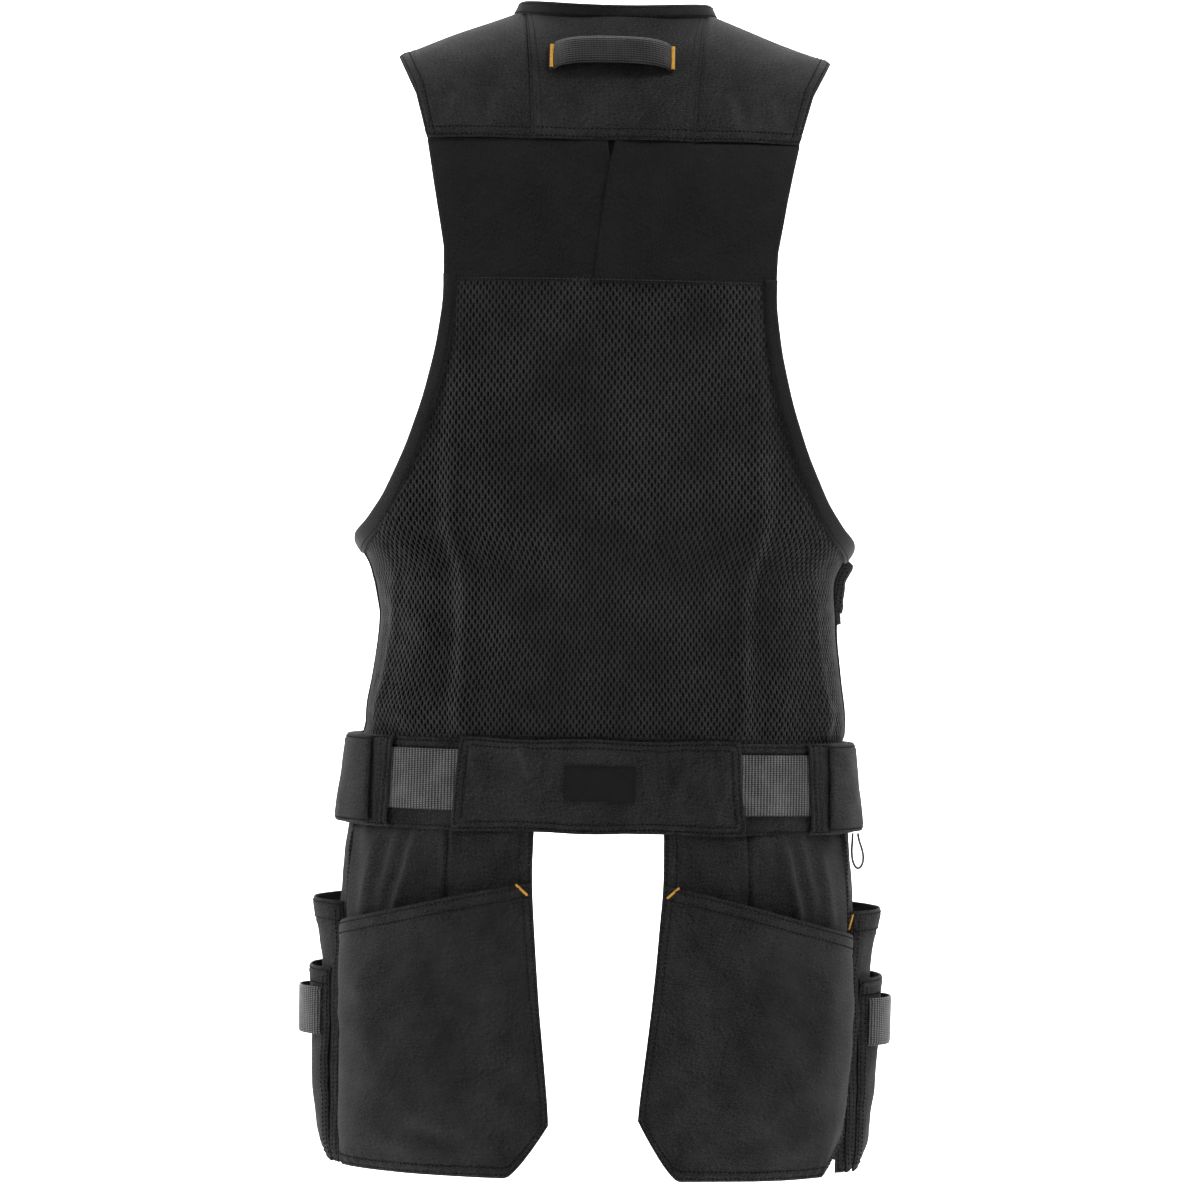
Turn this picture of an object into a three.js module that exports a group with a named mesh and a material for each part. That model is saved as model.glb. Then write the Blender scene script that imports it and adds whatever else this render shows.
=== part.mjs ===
// Utility work vest, in the shape that it has when worn. Millimetres.
// +Z is up. The wearer faces -Y, and the wearer's left is +X.
// The origin is the centre of the neck opening, at the height of the back neckline.
// Every cloth piece is a closed wall that follows one body form, lifted off it layer by layer.

import * as THREE from 'three';

// Lengths of the cut, from the top down
const YOKE_LENGTH = 100;
const STRETCH_LENGTH = 109;
const BACK_LENGTH = 568;
const WAISTBAND_HEIGHT = 70;
const HOLSTER_LENGTH = 269;
const ARMHOLE_DEPTH = 384;
const FRONT_SEAM_DROP = 80;
const FRONT_NECK_DROP = 95;

// Half widths and depths of the body form
const CHEST_HALF = 203;
const RIB_HALF = 182.5;
const WAIST_HALF = 192;
const HIP_HALF = 203;
const CHEST_BACK = 120;
const CHEST_FRONT = 130;
const WAIST_BACK = 102;
const WAIST_FRONT = 110;
const HIP_BACK = 115;
const HIP_FRONT = 118;
const SQUARENESS = 2.4;

// Shoulders and neck
const SHOULDER_APEX = 36;
const SHOULDER_SLOPE = 0.37;
const SHOULDER_TIP = 172;
const SHOULDER_ROUND = 150;
const NECK_HALF = 70;
const NECK_RISE = 6;
const NECK_BAND = 9.5;
const NECK_BACK_BAND = 7;
const SEAM_LOW = 63;
const SEAM_HIGH = 71.5;
const FRONT_GAP = 9;
const NECK_VEE = 0.75;

// Walls and the clearances between pieces
const TWILL = 1.7;
const YOKE_WALL = 2.2;
const STRETCH_WALL = 1.6;
const MESH_WALL = 2;
const WAISTBAND_WALL = 2.6;
const PANEL_WALL = 2;
const WEBBING = 2.2;
const LOOP_WEBBING = 1.5;
const SEAM_GAP = 0.5;
const LAYER_GAP = 0.4;
const POCKET_GAP = 0.9;
const BINDING_FOLD = 0.6;
const BINDING_REACH = 0.94;

// Trim
const PLEAT_UNDERLAY_HALF = 30;
const HANGER_HALF = 48.5;
const HANGER_WIDTH = 26;
const HANGER_DROP = 20;
const HANGER_BOW = 8;
const HANGER_SEWN = 0.12;
const BELT_WIDTH = 50;
const BELT_DROP = 7;
const PANEL_RISE = 1;
const PANEL_HALF_TOP = 108;
const PANEL_HALF_BOTTOM = 114;
const LABEL_HALF = 27.5;
const LABEL_HEIGHT = 27.5;
const LABEL_DROP = 19;
const LABEL_WALL = 1.2;
const BUCKLE_WIDTH = 66;
const BUCKLE_HEIGHT = 58;
const BUCKLE_WALL = 9;
const BUCKLE_CORNER = 8;
const KEEPER_INNER = 161;
const KEEPER_FACE = 176;
const KEEPER_TURN = 104;
const KEEPER_SPREAD = 3;
const FLAP_INSET = 1.5;
const ZIP_CHAIN_HALF = 0.36;
const ZIP_CHAIN_RISE = 1.4;
const ZIP_SLIDER_RISE = 3;
const CORD_DIAMETER = 2;

// Holsters and pockets
const HOLSTER_INNER = 50;
const HOLSTER_CHAMFER = 47;
const HOLSTER_SEAM_TURN = 73.5;
const HOLSTER_FRONT_TURN = 150;
const MOUTH_INNER_DROP = 38;
const MOUTH_OUTER_DROP = 73;
const BACK_POCKET_DEPTH = 24;
const POUCH_FULLNESS = 3.2;
const SIDE_MOUTH_DROP = 62;
const SIDE_POCKET_REAR = 76;
const SIDE_POCKET_FRONT = 142;
const SIDE_POCKET_DEPTH = 26;
const LOWER_MOUTH_DROP = 115;
const LOWER_POCKET_DEPTH = 9;
const LOWER_INSET_TURN = 4;
const TOOL_LOOP_HEIGHT = 38;
const TOOL_LOOP_DROP = 131;
const TOOL_LOOP_BOW = 7.6;
const CHEST_POCKET_DROP = 6;
const CHEST_POCKET_HEIGHT = 60;
const CHEST_POCKET_DEPTH = 15;
const CHEST_FLAP_HEIGHT = 47;
const CHEST_POCKET_SEAM = 0.08;
const CHEST_POCKET_SLOPE = 0.2;
const CHEST_POCKET_REAR = 102;
const CHEST_POCKET_FRONT = 138;

// Heights that follow from the lengths
const YOKE_Z = -YOKE_LENGTH;
const STRETCH_Z = YOKE_Z - STRETCH_LENGTH;
const WAIST_Z = -BACK_LENGTH;
const BAND_Z = WAIST_Z - WAISTBAND_HEIGHT;
const HEM_Z = BAND_Z - HOLSTER_LENGTH;
const TIP_Z = SHOULDER_APEX - SHOULDER_SLOPE * SHOULDER_TIP;
const ARMPIT_Z = TIP_Z - ARMHOLE_DEPTH;
const LIP_Z = ARMPIT_Z - 0.055 * ARMHOLE_DEPTH;

const RADIANS = Math.PI / 180;
const HALF_TURN = Math.PI;
const QUARTER_TURN = Math.PI / 2;

// The body form: half width, back depth and front depth at each height
const RIB_Z = LIP_Z + 0.36 * (WAIST_Z - LIP_Z);
const SIDE_Z = LIP_Z + 0.78 * (WAIST_Z - LIP_Z);
const SECTIONS = [
  { z: SHOULDER_APEX, half: CHEST_HALF, back: CHEST_BACK, front: CHEST_FRONT },
  { z: ARMPIT_Z + 0.04 * ARMHOLE_DEPTH, half: CHEST_HALF, back: 0.97 * CHEST_BACK, front: CHEST_FRONT },
  { z: ARMPIT_Z, half: 0.985 * CHEST_HALF, back: 0.96 * CHEST_BACK, front: 0.98 * CHEST_FRONT },
  { z: LIP_Z, half: RIB_HALF, back: 0.94 * CHEST_BACK, front: 0.95 * CHEST_FRONT },
  { z: RIB_Z, half: RIB_HALF, back: 0.9 * CHEST_BACK, front: 0.92 * CHEST_FRONT },
  { z: SIDE_Z, half: 0.99 * WAIST_HALF, back: 1.03 * WAIST_BACK, front: 1.03 * WAIST_FRONT },
  { z: WAIST_Z, half: WAIST_HALF, back: WAIST_BACK, front: WAIST_FRONT },
  { z: BAND_Z, half: 0.975 * HIP_HALF, back: 0.95 * HIP_BACK, front: 0.95 * HIP_FRONT },
  { z: BAND_Z - 0.24 * HOLSTER_LENGTH, half: HIP_HALF, back: HIP_BACK, front: HIP_FRONT },
  { z: HEM_Z - HOLSTER_LENGTH, half: HIP_HALF, back: HIP_BACK, front: HIP_FRONT },
];

// The armhole: its free edge, and the seam of its binding, both as shares of the depth down
// from the shoulder tip and of the half width of the chest
const ARMHOLE = [
  { edgeDown: 0, edge: SHOULDER_TIP / CHEST_HALF, seamDown: 0, seam: 0.79 },
  { edgeDown: 0.086, edge: 0.773, seamDown: 0.086, seam: 0.718 },
  { edgeDown: 0.198, edge: 0.714, seamDown: 0.198, seam: 0.659 },
  { edgeDown: 0.307, edge: 0.675, seamDown: 0.307, seam: 0.62 },
  { edgeDown: 0.409, edge: 0.643, seamDown: 0.409, seam: 0.588 },
  { edgeDown: 0.51, edge: 0.636, seamDown: 0.51, seam: 0.581 },
  { edgeDown: 0.612, edge: 0.663, seamDown: 0.617, seam: 0.606 },
  { edgeDown: 0.714, edge: 0.709, seamDown: 0.721, seam: 0.653 },
  { edgeDown: 0.815, edge: 0.773, seamDown: 0.828, seam: 0.719 },
  { edgeDown: 0.914, edge: 0.857, seamDown: 0.935, seam: 0.805 },
  { edgeDown: 0.961, edge: 0.921, seamDown: 0.984, seam: 0.875 },
  { edgeDown: 0.988, edge: 0.985, seamDown: 1.016, seam: 0.965 },
  { edgeDown: 1, edge: 1, seamDown: 1.034, seam: 1 },
];
const LAST_ROW = ARMHOLE.length - 1;

// The edge of the pleat: down as a share of the stretch panel, across as a share of its length
const PLEAT = [
  { down: 0, right: -0.028, left: 0.048 },
  { down: 0.2, right: 0.018, left: 0.022 },
  { down: 0.34, right: 0.041, left: 0.041 },
  { down: 0.6, right: 0.074, left: 0.074 },
  { down: 1, right: 0.118, left: 0.118 },
];

// The inner edge of a holster: down as a share of its length, across as a share of its start
const HOLSTER_EDGE = [
  { down: 0, across: 1 },
  { down: 0.14, across: 1.02 },
  { down: 0.475, across: 0.88 },
  { down: 0.825, across: 0.68 },
  { down: 1, across: 0.66 },
];

// How far the pockets stand off, as shares of their depths, at shares of the holster's length
const BACK_BULGE = [
  { down: 0.13, off: 0.7 },
  { down: 0.4, off: 0.85 },
  { down: 0.7, off: 0.9 },
  { down: 0.88, off: 0.6 },
  { down: 1, off: 0.02 },
];

// How far the hip pockets stand off, as shares of their depths, and their common heights
const SIDE_MOUTH_Z = BAND_Z - SIDE_MOUTH_DROP;
const LOWER_MOUTH_Z = BAND_Z - LOWER_MOUTH_DROP;
const SIDE_BULGE = [
  { z: SIDE_MOUTH_Z, upper: 0.94, lower: 1 },
  { z: LOWER_MOUTH_Z, upper: 0.5, lower: 1 },
  { z: mix(LOWER_MOUTH_Z, HEM_Z, 0.38), upper: 0.5, lower: 0.95 },
  { z: mix(LOWER_MOUTH_Z, HEM_Z, 0.7), upper: 0.45, lower: 0.6 },
  { z: mix(LOWER_MOUTH_Z, HEM_Z, 0.9), upper: 0.4, lower: 0.3 },
  { z: HEM_Z, upper: 0.02, lower: 0.02 },
];

// The hanging loop of cord: across, as shares of its width, and down, as shares of its length
const CORD_TURN = -86;
const CORD_LIFT = 4.4;
const CORD_LOOP_WIDTH = 10;
const CORD_LOOP_LENGTH = 29;
const CORD_ROUTE = [
  { across: 0.06, down: 0 },
  { across: 0.06, down: 0.2 },
  { across: 0, down: 0.45 },
  { across: 0.04, down: 0.7 },
  { across: 0.26, down: 0.92 },
  { across: 0.58, down: 1 },
  { across: 0.9, down: 0.88 },
  { across: 1, down: 0.66 },
  { across: 0.84, down: 0.42 },
  { across: 0.56, down: 0.2 },
  { across: 0.48, down: 0 },
];

function mix(start, end, share) {
  return start + (end - start) * share;
}

// Linear interpolation in a table, by the column `by`, which rises or falls from row to row
function lookUp(rows, by, at, column) {
  const rising = rows[rows.length - 1][by] > rows[0][by];
  let row = 1;
  while (row < rows.length - 1 && (rising ? at > rows[row][by] : at < rows[row][by])) {
    row += 1;
  }
  const before = rows[row - 1];
  const after = rows[row];
  const share = (at - before[by]) / (after[by] - before[by]);
  return mix(before[column], after[column], Math.min(1, Math.max(0, share)));
}

// Linear interpolation in a table by a row number that need not be whole
function atRow(rows, row, column) {
  const low = Math.min(Math.floor(row), rows.length - 2);
  return mix(rows[low][column], rows[low + 1][column], row - low);
}

function evenly(count, start = 0, end = 1) {
  return Array.from({ length: count + 1 }, (_, index) => mix(start, end, index / count));
}

// Height of the shoulder line: straight from the neck out, and rounded across the neck
function shoulderLine(x) {
  const across = Math.abs(x);
  if (across < NECK_HALF) {
    const atNeck = SHOULDER_APEX - SHOULDER_SLOPE * NECK_HALF;
    return atNeck + SHOULDER_SLOPE * (NECK_HALF ** 2 - across ** 2) / (2 * NECK_HALF);
  }
  return SHOULDER_APEX - SHOULDER_SLOPE * across;
}

// How far the form reaches back or forward at a height on the rounded shoulders, from 1 to 0
function shoulderArch(x, z) {
  const rise = (z + SHOULDER_ROUND) / (shoulderLine(x) + SHOULDER_ROUND);
  return rise <= 0 ? 1 : Math.sqrt(Math.max(0, 1 - rise * rise));
}

// A point of the body form: turn runs from the centre back, positive to the wearer's left
function bodyPoint(turn, z) {
  const half = lookUp(SECTIONS, 'z', z, 'half');
  const depth = lookUp(SECTIONS, 'z', z, Math.cos(turn) > 0 ? 'back' : 'front');
  const power = 2 / SQUARENESS;
  const x = half * Math.sign(Math.sin(turn)) * Math.abs(Math.sin(turn)) ** power;
  const y = depth * Math.sign(Math.cos(turn)) * Math.abs(Math.cos(turn)) ** power;
  return new THREE.Vector3(x, y * shoulderArch(x, z), z);
}

// The turn at which the form is a given share of its half width from the middle
function turnAtShare(share) {
  return Math.sign(share) * Math.asin(Math.min(1, Math.abs(share)) ** (SQUARENESS / 2));
}

function turnAtX(x, z) {
  return turnAtShare(x / lookUp(SECTIONS, 'z', z, 'half'));
}

// The outward normal of a surface of two parameters, by differences inside its domain
function outwardNormal(surface, u, v, domain) {
  const step = 0.002;
  const [uLow, uHigh, vLow, vHigh] = domain;
  const along = surface(Math.min(u + step, uHigh), v).sub(surface(Math.max(u - step, uLow), v));
  const down = surface(u, Math.min(v + step, vHigh)).sub(surface(u, Math.max(v - step, vLow)));
  const normal = along.cross(down).normalize();
  const point = surface(u, v);
  const core = new THREE.Vector3(0.5 * point.x, 0, Math.min(point.z, -SHOULDER_ROUND));
  return normal.dot(point.sub(core)) < 0 ? normal.negate() : normal;
}

// A geometry from points and triangles, with its faces turned outwards
function closedGeometry(points, triangles) {
  let volume = 0;
  for (const [a, b, c] of triangles) {
    volume += points[a].dot(points[b].clone().cross(points[c]));
  }
  const facing = volume < 0 ? triangles.map(([a, b, c]) => [a, c, b]) : triangles;
  const geometry = new THREE.BufferGeometry();
  const positions = points.flatMap((point) => point.toArray());
  geometry.setAttribute('position', new THREE.Float32BufferAttribute(positions, 3));
  geometry.setIndex(facing.flat());
  geometry.computeVertexNormals();
  return geometry;
}

// A cloth wall over a grid of a surface, between two lifts off it; each lift is a length
// or a function of the two parameters
function clothWall({ surface, us, vs, from, to }) {
  const domain = [Math.min(...us), Math.max(...us), Math.min(...vs), Math.max(...vs)];
  const liftOf = (lift, u, v) => (typeof lift === 'function' ? lift(u, v) : lift);
  const points = [];
  for (const v of vs) {
    for (const u of us) {
      const normal = outwardNormal(surface, u, v, domain);
      for (const lift of [from, to]) {
        points.push(surface(u, v).addScaledVector(normal, liftOf(lift, u, v)));
      }
    }
  }
  const width = us.length;
  const corner = (i, j, side) => 2 * (j * width + i) + side;
  const triangles = [];
  const quad = (a, b, c, d) => triangles.push([a, b, c], [a, c, d]);
  for (let j = 0; j < vs.length - 1; j += 1) {
    for (let i = 0; i < width - 1; i += 1) {
      quad(corner(i, j, 1), corner(i + 1, j, 1), corner(i + 1, j + 1, 1), corner(i, j + 1, 1));
      quad(corner(i, j, 0), corner(i, j + 1, 0), corner(i + 1, j + 1, 0), corner(i + 1, j, 0));
    }
    const last = width - 1;
    quad(corner(0, j, 0), corner(0, j, 1), corner(0, j + 1, 1), corner(0, j + 1, 0));
    quad(corner(last, j + 1, 0), corner(last, j + 1, 1), corner(last, j, 1), corner(last, j, 0));
  }
  const bottom = vs.length - 1;
  for (let i = 0; i < width - 1; i += 1) {
    quad(corner(i + 1, 0, 0), corner(i + 1, 0, 1), corner(i, 0, 1), corner(i, 0, 0));
    quad(corner(i, bottom, 0), corner(i, bottom, 1), corner(i + 1, bottom, 1), corner(i + 1, bottom, 0));
  }
  return closedGeometry(points, triangles);
}

// A section of points, each a height and a lift, carried round the body form over some turns
function carriedRound({ section, turns, closed = false }) {
  const points = [];
  const surface = (turn, z) => bodyPoint(turn, z);
  const everywhere = [-Infinity, Infinity, -Infinity, Infinity];
  for (const share of turns) {
    for (const { z, lift, turn } of section(share)) {
      const normal = outwardNormal(surface, turn, z, everywhere);
      points.push(bodyPoint(turn, z).addScaledVector(normal, lift));
    }
  }
  const size = points.length / turns.length;
  const count = turns.length;
  const corner = (i, k) => (i % count) * size + (k % size);
  const triangles = [];
  for (let i = 0; i < (closed ? count : count - 1); i += 1) {
    for (let k = 0; k < size; k += 1) {
      triangles.push([corner(i, k), corner(i + 1, k), corner(i + 1, k + 1)]);
      triangles.push([corner(i, k), corner(i + 1, k + 1), corner(i, k + 1)]);
    }
  }
  if (!closed) {
    const flat = section(turns[0]).map(({ z, lift }) => new THREE.Vector2(z, lift));
    for (const [a, b, c] of THREE.ShapeUtils.triangulateShape(flat, [])) {
      const forward = THREE.ShapeUtils.isClockWise(flat) ? [a, b, c] : [a, c, b];
      const end = (count - 1) * size;
      triangles.push([...forward].reverse());
      triangles.push(forward.map((k) => k + end));
    }
  }
  return closedGeometry(points, triangles);
}

const vest = new THREE.Group();

const FINISHES = {
  twill: { color: 0x2f2f31, roughness: 0.9, metalness: 0 },
  stretch: { color: 0x1c1c1d, roughness: 0.85, metalness: 0 },
  mesh: { color: 0x171717, roughness: 0.8, metalness: 0 },
  webbing: { color: 0x4d4d4f, roughness: 0.7, metalness: 0 },
  tape: { color: 0x262627, roughness: 0.85, metalness: 0 },
  patch: { color: 0x111216, roughness: 0.75, metalness: 0 },
  plastic: { color: 0x151515, roughness: 0.5, metalness: 0 },
};

function add(name, finish, geometry) {
  const mesh = new THREE.Mesh(geometry, new THREE.MeshStandardMaterial(FINISHES[finish]));
  mesh.name = name;
  vest.add(mesh);
  return mesh;
}

const SIDES = [
  { side: 1, word: 'left' },
  { side: -1, word: 'right' },
];

// Neck edge and the seam of its band: stop runs from 0 at the centre back over the shoulder
// line at 1 to the front at 2
function neckCurve(stop, band) {
  const half = NECK_HALF + band;
  const ridge = shoulderLine(half);
  if (stop <= 1) {
    const sweep = Math.sin(QUARTER_TURN * stop);
    const start = NECK_RISE - band * NECK_BACK_BAND / NECK_BAND;
    return { x: half * sweep, z: mix(start, ridge, sweep * sweep), back: true };
  }
  const left = Math.cos(QUARTER_TURN * (stop - 1));
  return {
    x: mix(FRONT_GAP, half, left ** NECK_VEE),
    z: mix(-FRONT_NECK_DROP - band, ridge, left),
    back: false,
  };
}

// The seam of the neck band at a height, behind and in front
function neckSeamBehind(x) {
  const half = NECK_HALF + NECK_BAND;
  return mix(NECK_RISE - NECK_BACK_BAND, shoulderLine(half), (x / half) ** 2);
}

function neckSeamInFront(z) {
  const half = NECK_HALF + NECK_BAND;
  const ridge = shoulderLine(half);
  const bottom = -FRONT_NECK_DROP - NECK_BAND;
  const left = Math.min(1, Math.max(0, (z - bottom) / (ridge - bottom)));
  return mix(FRONT_GAP, half, left ** NECK_VEE);
}

function overShoulder(x, z, back) {
  const turn = turnAtX(x, z);
  return bodyPoint(back ? turn : HALF_TURN - turn, z);
}

function yokeSeam(z) {
  return mix(SEAM_LOW, SEAM_HIGH, (z - YOKE_Z) / YOKE_LENGTH);
}

function armholeEdge(z) {
  return CHEST_HALF * lookUp(ARMHOLE, 'edgeDown', (TIP_Z - z) / ARMHOLE_DEPTH, 'edge');
}

// Back yoke between the two lengthwise seams
const YOKE_TOP_Z = neckSeamBehind(SEAM_HIGH);
add('back_yoke', 'twill', clothWall({
  surface: (u, v) => {
    const x = u * (yokeSeam(mix(YOKE_Z, YOKE_TOP_Z, v)) - SEAM_GAP);
    const top = neckSeamBehind(x) - SEAM_GAP;
    return overShoulder(x, mix(YOKE_Z, top, v), true);
  },
  us: evenly(8, -1, 1),
  vs: evenly(6),
  from: 0,
  to: YOKE_WALL,
}));

// Shoulder panels: over the shoulder line at 1, from the yoke seam at 0 to the front seam at 2
function heightOnShoulder(ridge, foot, share) {
  const start = Math.asin((foot + SHOULDER_ROUND) / (ridge + SHOULDER_ROUND));
  return (ridge + SHOULDER_ROUND) * Math.sin(mix(start, QUARTER_TURN, share)) - SHOULDER_ROUND;
}

function shoulderInner(stop) {
  const half = NECK_HALF + NECK_BAND;
  const ridge = shoulderLine(half);
  if (stop > 1) {
    const z = heightOnShoulder(ridge, -FRONT_SEAM_DROP, 2 - stop);
    return { x: neckSeamInFront(z), z };
  }
  const z = heightOnShoulder(ridge, YOKE_Z, stop);
  const start = NECK_RISE - NECK_BACK_BAND;
  const alongNeck = half * Math.sqrt(Math.max(0, (z - start) / (ridge - start)));
  return { x: z > YOKE_TOP_Z ? alongNeck : yokeSeam(z), z };
}

function shoulderOuter(stop) {
  const share = stop > 1 ? 2 - stop : stop;
  const foot = stop > 1 ? -FRONT_SEAM_DROP : YOKE_Z;
  const z = heightOnShoulder(shoulderLine(SHOULDER_TIP), foot, share);
  return { x: armholeEdge(z), z };
}

for (const { side, word } of SIDES) {
  add(`shoulder_panel_${word}`, 'twill', clothWall({
    surface: (u, v) => {
      const inner = shoulderInner(v);
      const outer = shoulderOuter(v);
      const x = mix(inner.x + POCKET_GAP, outer.x, u);
      const z = mix(inner.z, outer.z, u);
      const point = overShoulder(x, v === 1 ? shoulderLine(x) : z, v <= 1);
      point.x *= side;
      return point;
    },
    us: evenly(5),
    vs: [0, 0.2, 0.4, 0.6, 0.8, 0.9, 0.96, 1, 1.12, 1.3, 1.5, 1.75, 2],
    from: 0,
    to: YOKE_WALL,
  }));
}

// Band round the neck, from one front edge round the back to the other
add('neck_binding', 'tape', clothWall({
  surface: (u, v) => {
    const free = neckCurve(Math.abs(v), 0);
    const seam = neckCurve(Math.abs(v), NECK_BAND);
    const point = overShoulder(mix(free.x, seam.x, u), mix(free.z, seam.z, u), free.back);
    point.x *= v < 0 ? -1 : 1;
    return point;
  },
  us: [0, BINDING_REACH],
  vs: evenly(36, -2, 2),
  from: -BINDING_FOLD,
  to: YOKE_WALL + BINDING_FOLD,
}));

// Hanger loop: its two ends lie on the yoke and its middle stands off
add('hanger_loop', 'webbing', clothWall({
  surface: (u, v) => overShoulder(u * HANGER_HALF, -HANGER_DROP - v * HANGER_WIDTH, true),
  us: [-1, -1 + HANGER_SEWN, -0.7, -0.5, -0.25, 0, 0.25, 0.5, 0.7, 1 - HANGER_SEWN, 1],
  vs: [0, 1],
  from: (u) => YOKE_WALL + POCKET_GAP + hangerBow(u),
  to: (u) => YOKE_WALL + POCKET_GAP + WEBBING + hangerBow(u),
}));

function hangerBow(u) {
  const free = Math.max(0, 1 - Math.abs(u) / (1 - HANGER_SEWN));
  return HANGER_BOW * Math.min(1, 2 * free);
}

// Stretch panels on each side of the pleat, and the cloth behind its opening
for (const { side, word } of SIDES) {
  add(`stretch_panel_${word}`, 'stretch', clothWall({
    surface: (u, v) => {
      const z = mix(YOKE_Z - SEAM_GAP, STRETCH_Z, v);
      const pleat = STRETCH_LENGTH * lookUp(PLEAT, 'down', v, word) + 0.5 * side * SEAM_GAP;
      return bodyPoint(mix(turnAtX(pleat, z), side * turnAtX(armholeEdge(z), z), u), z);
    },
    us: evenly(6),
    vs: [0, 0.2, 0.34, 0.6, 1],
    from: 0,
    to: STRETCH_WALL,
  }));
}

add('pleat_underlay', 'stretch', clothWall({
  surface: (u, v) => {
    const z = mix(YOKE_Z - SEAM_GAP, STRETCH_Z, v);
    return bodyPoint(turnAtX(u * PLEAT_UNDERLAY_HALF, z), z);
  },
  us: evenly(4, -1, 1),
  vs: evenly(4),
  from: -POCKET_GAP - STRETCH_WALL,
  to: -POCKET_GAP,
}));

// Rows that the mesh, the fronts and the armhole bindings share: a height and the turn of the seam
function armholeRow(row) {
  return {
    edgeZ: TIP_Z - ARMHOLE_DEPTH * atRow(ARMHOLE, row, 'edgeDown'),
    edgeTurn: turnAtShare(atRow(ARMHOLE, row, 'edge')),
    z: TIP_Z - ARMHOLE_DEPTH * atRow(ARMHOLE, row, 'seamDown'),
    turn: turnAtShare(atRow(ARMHOLE, row, 'seam')),
  };
}

function rowAtHeight(z) {
  const down = (TIP_Z - z) / ARMHOLE_DEPTH;
  const row = ARMHOLE.findIndex(({ seamDown }) => seamDown > down);
  const before = ARMHOLE[row - 1].seamDown;
  return row - 1 + (down - before) / (ARMHOLE[row].seamDown - before);
}

function rowsBelow(topZ) {
  const first = rowAtHeight(topZ);
  const rows = [first];
  for (let row = Math.floor(first) + 1; row <= LAST_ROW; row += 1) {
    rows.push(row);
  }
  const armhole = rows.map(armholeRow);
  const sides = [0, 0.25, 0.5, 0.75, 1].map((share) => ({
    z: mix(LIP_Z, WAIST_Z + SEAM_GAP, share),
    turn: QUARTER_TURN,
  }));
  return [...armhole, ...sides];
}

const MESH_ROWS = rowsBelow(STRETCH_Z - SEAM_GAP);
add('mesh_back', 'mesh', clothWall({
  surface: (u, v) => bodyPoint(u * atRow(MESH_ROWS, v, 'turn'), atRow(MESH_ROWS, v, 'z')),
  us: evenly(24, -1, 1),
  vs: MESH_ROWS.map((_, row) => row),
  from: 0,
  to: MESH_WALL,
}));

// Armhole bindings, from the stretch panel down round the armpit and up the front
const BINDING_START = LAST_ROW - rowAtHeight(STRETCH_Z - SEAM_GAP);
const BINDING_END = LAST_ROW - rowAtHeight(-FRONT_SEAM_DROP - 2 * SEAM_GAP);
const BINDING_STOPS = [-BINDING_START];
for (let stop = Math.ceil(-BINDING_START + 0.001); stop < BINDING_END; stop += 1) {
  BINDING_STOPS.push(stop);
}
BINDING_STOPS.push(BINDING_END);

for (const { side, word } of SIDES) {
  add(`armhole_binding_${word}`, 'tape', clothWall({
    surface: (u, v) => {
      const row = armholeRow(LAST_ROW - Math.abs(v));
      const turn = mix(row.edgeTurn, row.turn, u);
      return bodyPoint(side * (v > 0 ? HALF_TURN - turn : turn), mix(row.edgeZ, row.z, u));
    },
    us: [0, BINDING_REACH],
    vs: BINDING_STOPS,
    from: -BINDING_FOLD,
    to: MESH_WALL + BINDING_FOLD,
  }));
}

// Fronts: from the neck and the zip to the armhole seam and the side seam
const NECK_FOOT_Z = -FRONT_NECK_DROP - NECK_BAND;
const FRONT_TOP_Z = -FRONT_SEAM_DROP - SEAM_GAP;
const FRONT_ROWS = [0.4, 0.7, 0.88, 1]
  .map((share) => mix(FRONT_TOP_Z, NECK_FOOT_Z, share))
  .map((z) => ({ z, turn: armholeRow(rowAtHeight(z)).turn }))
  .concat(rowsBelow(FRONT_TOP_Z))
  .sort((first, second) => second.z - first.z);

for (const { side, word } of SIDES) {
  add(`front_panel_${word}`, 'twill', clothWall({
    surface: (u, v) => {
      const z = atRow(FRONT_ROWS, v, 'z');
      const inner = turnAtX(neckSeamInFront(z) + POCKET_GAP, z);
      const outer = atRow(FRONT_ROWS, v, 'turn') - SEAM_GAP / CHEST_HALF;
      return bodyPoint(side * (HALF_TURN - mix(inner, outer, u)), z);
    },
    us: evenly(9),
    vs: FRONT_ROWS.map((_, row) => row),
    from: 0,
    to: TWILL,
  }));
}

// Front zip: tape, raised chain and the slider at its top
const ZIP_FLANK = ZIP_CHAIN_HALF + 0.04;
const ZIP_CREST = ZIP_CHAIN_HALF - 0.04;
const ZIP_VS = [0, 0.01, 0.045, 0.055, ...evenly(9, 0.12, 1)];
add('front_zip', 'plastic', clothWall({
  surface: (u, v) => {
    const z = mix(NECK_FOOT_Z + NECK_BAND, WAIST_Z + SEAM_GAP, v);
    return bodyPoint(HALF_TURN - turnAtX(u * (FRONT_GAP - SEAM_GAP), z), z);
  },
  us: [-1, -ZIP_FLANK, -ZIP_CREST, ZIP_CREST, ZIP_FLANK, 1],
  vs: ZIP_VS,
  from: 0,
  to: (u, v) => {
    const onChain = Math.abs(u) < ZIP_CHAIN_HALF;
    const onSlider = onChain && v >= ZIP_VS[1] && v <= ZIP_VS[2];
    return TWILL + (onChain ? ZIP_CHAIN_RISE : 0) + (onSlider ? ZIP_SLIDER_RISE : 0);
  },
}));

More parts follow.
